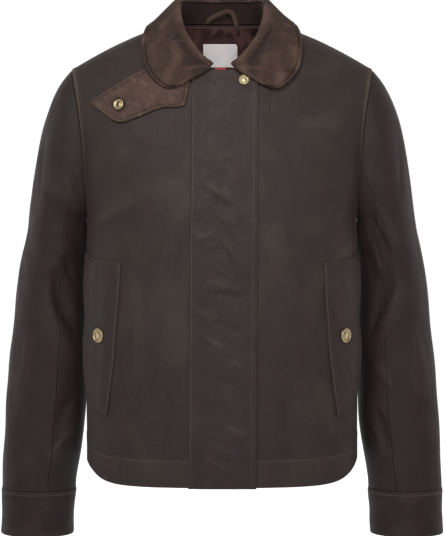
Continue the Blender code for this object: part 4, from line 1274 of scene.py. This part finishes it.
def collar_stand():
    fine = np.linspace(0, STAND_END, 600)
    seam = neck_seam(fine)
    head = fold_points(fine * (len(COLLAR) - 1.0))[0] - np.array((0.0, 0.0, STAND_GAP))
    foot = seam + unit(head - seam) * STAND_GAP * 1.3
    runs = run_along(head)
    at = np.linspace(0, runs[-1], int(runs[-1] / WALE * WALE_LINES))
    lines = [at_runs(at, runs, foot * (1 - t) + head * t) for t in np.linspace(0, 1, 12)]
    half = np.stack(lines, axis=1)
    grid = np.concatenate(((half * (-1, 1, 1))[:0:-1], half))
    grid = cut(grid, (*EDGE, 0.003), (*EDGE, 0.003), step=0.003, axis=1)
    normal = normals(grid)
    where = np.abs(np.linspace(-runs[-1], runs[-1], len(grid)))[:, None] + WALE / 2
    left, right, _, _ = travels(grid)
    pile_and_groove_shade = pile_at(where) + 0 * left
    relief = WALE_HEIGHT * 0.7 * (pile_and_groove_shade - 0.5) * np.clip(np.minimum(left, right) / 0.002, 0, 1)
    wear_and_highlight = np.clip(0.15 * bump_at(left, 0.001, 0.002) + 0.08 * lumps(grid, 0.02, 61), 0, 1)
    grid = grid + normal * relief[..., None]
    # Its pile mark paints shade in the grooves between the wales, on a material darkened as painted shade
    # inside the neck.
    return shell("collar_stand_cloth", grid, STAND, CORD_INSIDE_PAINTED_SHADE, marks={"pile_and_groove_shade": pile_and_groove_shade, "wear_and_highlight": wear_and_highlight})


FACING_FIRST = 1.0 + 7.0 / 12.0
FACING_TOP_GAP = 0.0012


def facing():
    """The top of the back inside the neck, with its folds of soft pile."""
    neck_angle = float(angle_at(NECK_HALF, ARM_TOP_X, BACK_SQUARE))
    angles, heights = np.linspace(-neck_angle, neck_angle, 240), np.linspace(FACING_FIRST, 2.0, 60)
    grid = body_point(angles[None], heights[:, None], True)
    top = (FACING_TOP_GAP, FACING_TOP_GAP + 0.0004, FACING_TOP_GAP + 0.001, 0.005)
    grid = cut(grid, (*EDGE, 0.003), top, step=0.0032)
    grid = grid + normals(grid) * (WAXED / 2 + LAP_GAP + 0.0008)
    grid = cut(grid, EDGE, EDGE, step=WALE / WALE_LINES, axis=1)
    normal = normals(grid)
    left, right, low, high = travels(grid)
    pile_and_groove_shade = pile_at(left + WALE / 2)
    inner = np.clip(to_border(left, right, low, high) / 0.008, 0, 1)
    folds = creased(grid, normal, FACING_CREASES, -1)
    relief = folds + 0.0008 * (1.0 + lumps(grid, 0.03, 71)) + WALE_HEIGHT * 0.5 * (pile_and_groove_shade - 0.5)
    relief = np.maximum(relief * inner, -0.0003)
    wear_and_highlight = np.clip(np.clip(folds / 0.006, 0, 0.35) + 0.30 * bump_at(high, 0.0006, 0.0014), 0, 1)
    grid = grid + normal * relief[..., None]
    # Its pile mark paints shade in the grooves between the wales.
    return shell("back_neck_facing_cloth", grid, FACING, FACING_LOOK, marks={"pile_and_groove_shade": pile_and_groove_shade, "wear_and_highlight": wear_and_highlight})


FACING_CREASES = (
    (((0.024, 0.014), (0.030, -0.012), (0.040, -0.040)), 0.0050, 0.0052),
    (((0.036, 0.012), (0.042, -0.014), (0.050, -0.034)), 0.0045, 0.0034),
    (((-0.034, 0.012), (-0.038, -0.010), (-0.046, -0.030)), 0.0055, 0.0040),
    (((-0.044, 0.012), (-0.050, -0.004), (-0.054, -0.016)), 0.0040, 0.0026),
    (((-0.010, 0.014), (-0.012, 0.006), (-0.018, -0.002)), 0.0045, 0.0026),
    (((0.008, 0.014), (0.006, 0.006), (0.002, -0.002)), 0.0040, 0.0018),
    (((0.014, 0.013), (0.020, 0.000), (0.026, -0.020)), 0.0035, 0.0022),
)

# ---------------------------------------------------------------- throat tab, labels, loop

# The tab's outline from its point, along the upper edge and back along the lower one: (x, z)
TAB_OUTLINE = (
    (-0.1772, -0.0918), (-0.1700, -0.0866), (-0.1577, -0.0794), (-0.1408, -0.0700), (-0.1176, -0.0564),
    (-0.0942, -0.0470), (-0.0725, -0.0450), (-0.0450, -0.0530), (-0.0480, -0.0920), (-0.0562, -0.1000),
    (-0.0793, -0.1007), (-0.1040, -0.1101), (-0.1326, -0.1197), (-0.1522, -0.1135), (-0.1640, -0.1040),
    (-0.1703, -0.0984),
)
TAB_LIFT = 0.0029
TAB_SNAP_X = -0.1380
TAB_SNAP_Z = -0.0962
TAB_WALE_WAY = (0.79, -0.61)
TAB_STITCH = 0.0055


def form_lift(x, z, lift):
    """Points in front of the body's form at these places, moved out along its normal."""
    reach = 0.001
    across = stacked(2 * reach, body_y(x + reach, z) - body_y(x - reach, z), 0.0)
    upward = stacked(0.0, body_y(x, z + reach) - body_y(x, z - reach), 2 * reach)
    return stacked(x, body_y(x, z), z) + unit(np.cross(across, upward)) * lift


def wale_rows():
    """The tab's grid lies along its wales: each row ends where its wale meets the outline."""
    outline = smooth_path((*TAB_OUTLINE, TAB_OUTLINE[0]), 0.0012)
    way = np.array(TAB_WALE_WAY)
    over = np.array((-way[1], way[0]))
    across, down = outline @ over, outline @ way
    first, last = across.min() + 0.0004, across.max() - 0.0004
    rows = []
    for at in np.linspace(first, last, int((last - first) / WALE * WALE_LINES)):
        a, b = across[:-1] - at, across[1:] - at
        meets = (a * b <= 0) & (a != b)
        a, b = a[meets], b[meets]
        crossing = down[:-1][meets] + np.diff(down)[meets] * a / (a - b)
        reach = np.linspace(crossing.min(), crossing.max(), 40)
        rows.append(reach[:, None] * way + over * at)
    return np.array(rows), last - first


def throat_tab():
    flat, wide = wale_rows()
    grid = form_lift(flat[..., 0], flat[..., 1], TAB_LIFT)
    edge_lines = (*THICK_EDGE, 0.0040, 0.0052, 0.0060, 0.0070)
    grid = cut(grid, edge_lines, edge_lines, step=0.0030, axis=1)
    normal = normals(grid)
    flip = normal[..., 1].mean() > 0
    normal = -normal if flip else normal
    left, right, _, _ = travels(grid)
    edge = np.minimum(left, right)
    crushed = 1.0 - 0.6 * bump_at(edge, TAB_STITCH, 0.0010) - 0.5 * bump_at(edge, 0.0, 0.0015)
    snap = np.linalg.norm(grid - tab_snap()[0], axis=-1)
    pressed = np.exp(-((snap / 0.0105) ** 4))
    crushed = crushed * (1.0 - 0.8 * pressed)
    pile_and_groove_shade = pile_at(np.linspace(0, wide, len(grid))[:, None]) + 0 * left
    sag = 0.0016 * bump_at(np.hypot(grid[..., 0] + 0.112, grid[..., 2] + 0.082), 0.0, 0.020)
    relief = WALE_HEIGHT * (pile_and_groove_shade - 0.5) * crushed + 0.0005 * bump_at(edge, 0.0028, 0.002)
    relief = relief - 0.0004 * bump_at(edge, TAB_STITCH, 0.0009) + sag - 0.0006 * pressed
    relief = relief + 0.0005 * lumps(grid, 0.03, 81) * np.clip(edge / 0.006, 0, 1)
    grid = grid + normal * np.maximum(relief, -0.0006)[..., None]
    wear_and_highlight = np.clip(0.10 * bump_at(edge, 0.0012, 0.0016) + 0.14 * np.maximum(lumps(grid, 0.016, 82), 0), 0, 1)
    # The pile mark paints shade in the wale grooves, darker where the pile is crushed at the edges, the
    # stitches and the snap.
    marks = {"pile_and_groove_shade": pile_and_groove_shade * crushed, "wear_and_highlight": wear_and_highlight}
    name = "throat_tab_cloth"
    cloth = shell(name, grid, CORDUROY, CORD_TAB, flip=flip, rounding=CORD_ROUNDING, marks=marks)
    return cloth, [on_face(cloth, "left", TAB_STITCH), on_face(cloth, "right", TAB_STITCH)]


def tab_snap():
    x, z = np.array(TAB_SNAP_X), np.array(TAB_SNAP_Z)
    low, seat = form_lift(x, z, 0.0), form_lift(x, z, TAB_LIFT + CORDUROY / 2 - 0.0004)
    return seat, unit(seat - low)


def patch(name, node, look, wave):
    """A small woven piece that lies where its solid lies."""
    low, high = (np.array(corner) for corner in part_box(node))
    x = np.linspace(low[0], high[0], 60)[None]
    z = np.linspace(low[2], high[2], 40)[:, None]
    grid = stacked(x, body_y(x, z, True) - (WAXED + 2 * LAP_GAP + FACING + LABEL_GAP), z)
    for axis in (0, 1):
        grid = cut(grid, EDGE[:4], EDGE[:4], step=0.0016, axis=axis)
    normal = normals(grid)
    runs = travels(grid)
    relief = wave * (1 + lumps(grid, 0.025, 91)) * np.clip(runs[3] / 0.01, 0.15, 1)
    relief = relief - 0.0002 * bump_at(to_border(*runs), 0.0018, 0.0006)
    return shell(name, grid + normal * relief[..., None], LABEL, look)


# Hanging loop, from seam to seam
LOOP = np.array((
    (-0.0215, 0.0483, 0.0195),
    (-0.0165, 0.0478, 0.0255),
    (-0.0060, 0.0470, 0.0315),
    (0.0060, 0.0470, 0.0360),
    (0.0130, 0.0465, 0.0345),
    (0.0175, 0.0462, 0.0260),
    (0.0205, 0.0465, 0.0150),
    (0.0245, 0.0560, 0.0030),
))


LOOP_STEP = 0.0012
LOOP_SIDES = 24
LOOP_WIDE = 0.0060
LOOP_THICK = 0.0022
LOOP_CUT = 0.012


def hanger_loop():
    """A narrow strip folded double, sewn in at both ends."""
    line = smooth_path(LOOP, LOOP_STEP)
    way = unit(np.gradient(line, axis=0))
    face = unit(np.cross(way, np.cross(np.array((0.0, -1.0, 0.15)), way)))
    side = unit(np.cross(way, face))
    turns = np.linspace(0, 2 * np.pi, LOOP_SIDES + 1)[:-1]
    c, s = np.cos(turns), np.sin(turns)
    last = len(line) - 1
    close = (np.minimum(np.minimum(np.arange(last + 1), np.arange(last + 1)[::-1]), 3) / 3.0)[:, None, None]
    out = (LOOP_WIDE / 2 * np.sign(c) * np.abs(c) ** 0.7)[None, :, None] * (0.6 + 0.4 * close)
    up = (s * LOOP_THICK / 2 * (1 - 0.45 * bump_at(np.abs(c), 0.62, 0.10)))[None, :, None] * close
    points = (line[:, None] + side[:, None] * out + face[:, None] * up).reshape(-1, 3)
    faces = []
    for r in range(last):
        for k in range(LOOP_SIDES):
            a, b = r * LOOP_SIDES + k, r * LOOP_SIDES + (k + 1) % LOOP_SIDES
            faces.append((a, b, b + LOOP_SIDES, a + LOOP_SIDES))
    faces.append(tuple(reversed(range(LOOP_SIDES))))
    faces.append(tuple(range(last * LOOP_SIDES, len(points))))
    runs = np.repeat(np.arange(last + 1) * LOOP_STEP, LOOP_SIDES)
    uv = stacked(np.tile(np.linspace(0, LOOP_CUT, LOOP_SIDES), last + 1), runs)
    ribs = 0.55 + 0.35 * np.sin(runs * 2 * np.pi / 0.0024)
    # The ribs, as the pile mark, paint shade between the loop's ribs.
    marks = {"pile_and_groove_shade": ribs, "wear_and_highlight": np.tile(np.abs(c) ** 6, last + 1) * 0.35}
    thing = mesh_object("hanger_loop_strip", points, faces, CORD, uv, marks)
    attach(thing, "root")
    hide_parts("hanger_loop")


# ---------------------------------------------------------------- snaps


def lathe(name, node, profile, seat, normal, steps=72, beads=None):
    """A turned piece: (radius, height, wear) from its middle or inner hole outwards and under.
    beads are a ring's radius and half width, and the beads' height and number."""
    axis = unit(np.asarray(normal, float))
    side = unit(np.cross(axis, np.array((0.0, 0.0, 1.0))))
    up = np.cross(side, axis)
    turns = [2 * math.pi * k / steps for k in range(steps)]
    points, wear_and_highlight, faces = [], [], []
    for radius, height, shine in profile:
        from_ring = abs(radius - beads[0]) / beads[1] if beads else 1.0
        for turn in turns:
            lift = height
            if from_ring < 1.0:
                lift += beads[2] * (0.5 + 0.5 * math.cos(turn * beads[3])) * (1 - from_ring)
            points.append(seat + (side * math.cos(turn) + up * math.sin(turn)) * radius + axis * lift)
            wear_and_highlight.append(shine)
    rows = len(profile)
    solid = profile[0][0] < 1e-3
    for r in range(rows - 1 if solid else rows):
        after = (r + 1) % rows * steps
        for k in range(steps):
            beside = (k + 1) % steps
            faces.append((r * steps + k, after + k, after + beside, r * steps + beside))
    if solid:
        faces.append(tuple(range(steps)))
        faces.append(tuple(reversed(range((rows - 1) * steps, rows * steps))))
    thing = mesh_object(name, np.array(points), faces, BRASS, marks={"wear_and_highlight": np.array(wear_and_highlight)})
    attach(thing, "root")
    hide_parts(node)


# Shares of a cap's radius and height, and wear
CAP_SHAPE = (
    (0.02, 0.86, 1.0), (0.20, 0.86, 0.95), (0.38, 0.83, 0.9), (0.47, 0.76, 0.5), (0.51, 0.62, 0.0),
    (0.55, 0.60, 0.0), (0.59, 0.66, 0.2), (0.64, 0.68, 0.5), (0.68, 0.69, 0.6), (0.72, 0.69, 0.6),
    (0.76, 0.68, 0.5), (0.81, 0.66, 0.2), (0.84, 0.70, 0.1), (0.87, 0.86, 0.7), (0.90, 0.97, 1.0),
    (0.94, 1.00, 1.0), (0.98, 0.90, 0.9), (1.0, 0.70, 0.6), (0.99, 0.40, 0.2), (0.96, 0.0, 0.0),
    (0.5, 0.0, 0.0), (0.02, 0.0, 0.0),
)
# The ring socket's flange, raised rim, and hole with a rolled lip: radius, height, wear
SOCKET = (
    (0.0026, 0.0002, 0.0), (0.0026, 0.0011, 0.1), (0.0029, 0.0016, 0.9), (0.0033, 0.0017, 1.0),
    (0.0037, 0.0014, 0.6), (0.0041, 0.0009, 0.1), (0.0047, 0.0008, 0.2), (0.0053, 0.0011, 0.6),
    (0.0059, 0.0016, 1.0), (0.0064, 0.0017, 1.0), (0.0069, 0.0013, 0.7), (0.0072, 0.0006, 0.3),
    (0.0072, 0.0000, 0.0),
)
# The dark inside of the socket's hole, with the spring that shows in it
SOCKET_INSIDE = (
    (0.0002, 0.0005, 0.6), (0.0010, 0.0006, 0.6), (0.0014, 0.0004, 0.1), (0.0024, 0.0003, 0.0),
    (0.0024, 0.0000, 0.0), (0.0002, 0.0000, 0.0),
)
POCKET_CAP = (0.0098, 0.0030)
POCKET_BEADS = (0.0070, 0.0012, 0.0003, 22)
PLACKET_CAP = (0.0070, 0.0028)
PLACKET_BEADS = (0.0050, 0.0009, 0.0003, 18)
PLACKET_SNAP_X = 0.0292
PLACKET_SNAP_Z = -0.0640


def cap_profile(radius, height):
    """Domed middle, a groove, a beaded band and a rolled rim."""
    return [(max(r * radius, 0.0002), h * height, shine) for r, h, shine in CAP_SHAPE]


# ---------------------------------------------------------------- making

body_lines, cord_lines = [], []


def add(made, node, slot):
    """Hides the solid of a cloth's node, and keeps the lines of its stitches for later."""
    cloth, lines = made
    declare(cloth, node)
    (cord_lines if slot == "corduroy" else body_lines).extend(lines)


for side in (1, -1):
    word = word_of(side)
    add(front(side), f"front_{word}", "waxed_cotton")
    panel = sleeve(side, OUTER_SEAM + SEAM_TURN, FRONT_SEAM - SEAM_TURN, "front")
    add(panel, f"sleeve_{word}_front", "waxed_cotton")
    panel = sleeve(side, FRONT_SEAM + SEAM_TURN, OUTER_SEAM + 360.0 - SEAM_TURN, "back")
    add(panel, f"sleeve_{word}_back", "waxed_cotton")
    add(cuff(side), f"cuff_{word}", "waxed_cotton")
    add(pocket(side), f"pocket_{word}", "waxed_cotton")
add(back(), "back", "waxed_cotton")
add(flap(), "front_placket", "waxed_cotton")
add(collar_fall(), "collar_fall", "corduroy")
add(throat_tab(), "throat_tab", "corduroy")
add((collar_stand(), []), "collar_stand", "corduroy")
add((facing(), []), "back_neck_facing", "corduroy")
for name, look, wave in (("neck_label", WOVEN, 0.0004), ("size_tab", RED, 0.0002)):
    slot = "woven_label" if look is WOVEN else name
    add((patch(f"{name}_cloth", name, look, wave), []), name, slot)
stitching("topstitching", body_lines, THREAD_LOOK)
stitching("collar_stitching", cord_lines, CORD_THREAD)
hanger_loop()

for side in (1, -1):
    node = f"snap_pocket_{word_of(side)}"
    lathe(f"{node}_cap", node, cap_profile(*POCKET_CAP), *pocket_snap(side), beads=POCKET_BEADS)
place = np.array(PLACKET_SNAP_X), np.array(PLACKET_SNAP_Z)
seat = form_lift(*place, 1.5 * WAXED + LAP_GAP)
normal = unit(seat - form_lift(*place, 0.0))
lathe("snap_placket_cap", "snap_placket", cap_profile(*PLACKET_CAP), seat, normal, beads=PLACKET_BEADS)
lathe("snap_tab_socket", "snap_tab", SOCKET, *tab_snap())
lathe("snap_tab_inside", "snap_tab", SOCKET_INSIDE, *tab_snap(), steps=32)

# ---------------------------------------------------------------- stage, light and camera


FLOOR = -1.05
SWEEP = 6.0
SWEEP_TOP = 4.0
EYE = Vector((0.0006, -3.0, -0.1176))
AIM = Vector((0.0006, 0.0, -0.3219))
VIEW_WIDTH = 0.6205
SENSOR = 36.0


def stage_look():
    look = bpy.data.materials.new("studio_paper")
    look.use_nodes = True
    shader = look.node_tree.nodes["Principled BSDF"]
    shader.inputs["Base Color"].default_value = (0.90, 0.90, 0.90, 1.0)
    shader.inputs["Roughness"].default_value = 0.9
    shader.inputs["Emission Color"].default_value = (1.0, 1.0, 1.0, 1.0)
    shader.inputs["Emission Strength"].default_value = 0.72
    return look


def paper_sweep():
    """A pale floor that rises behind in one curve of 1 m radius."""
    profile = [(-SWEEP, FLOOR)]
    for turn in np.linspace(0, math.pi / 2, 13):
        profile.append((SWEEP - 1 + math.sin(turn), FLOOR + 1 - math.cos(turn)))
    profile.append((SWEEP, SWEEP_TOP))
    points = [(x, y, z) for y, z in profile for x in (-SWEEP, SWEEP)]
    faces = [(2 * k, 2 * k + 1, 2 * k + 3, 2 * k + 2) for k in range(len(profile) - 1)]
    thing = mesh_object("studio_sweep", np.array(points), faces, stage_look())
    thing.visible_diffuse = False


def aimed(thing, place, aim):
    thing.location = place
    thing.rotation_mode = "QUATERNION"
    thing.rotation_quaternion = (Vector(aim) - Vector(place)).to_track_quat("-Z", "Y")
    bpy.context.scene.collection.objects.link(thing)


def soft_light(name, place, aim, size, power, spread=180.0):
    light = bpy.data.lights.new(name, "AREA")
    light.shape = "RECTANGLE"
    light.size, light.size_y = size
    light.energy = power
    light.spread = math.radians(spread)
    aimed(bpy.data.objects.new(name, light), place, aim)


paper_sweep()
soft_light("key", (-0.6, -2.05, 1.45), (0.0, 0.0, 0.0), (1.7, 1.4), 7.2, 46.0)
soft_light("fill", (0.5, -3.0, 0.45), (0.0, 0.0, 0.04), (1.2, 1.0), 3.3, 40.0)
for side in (-1, 1):
    soft_light(f"rim_{word_of(side)}", (2.2 * side, 0.9, 0.1), (0.0, 0.0, -0.35), (1.2, 2.2), 14.0)

world = bpy.data.worlds.new("studio")
world.use_nodes = True
world.node_tree.nodes["Background"].inputs["Color"].default_value = (1.0, 1.0, 1.0, 1.0)
world.node_tree.nodes["Background"].inputs["Strength"].default_value = 0.30
bpy.context.scene.world = world
bpy.context.scene.view_settings.view_transform = "Standard"

camera = bpy.data.objects.new("camera", bpy.data.cameras.new("camera"))
camera.data.sensor_fit = "HORIZONTAL"
camera.data.sensor_width = SENSOR
camera.data.lens = SENSOR * (AIM - EYE).length / VIEW_WIDTH
aimed(camera, EYE, AIM)
bpy.context.scene.camera = camera
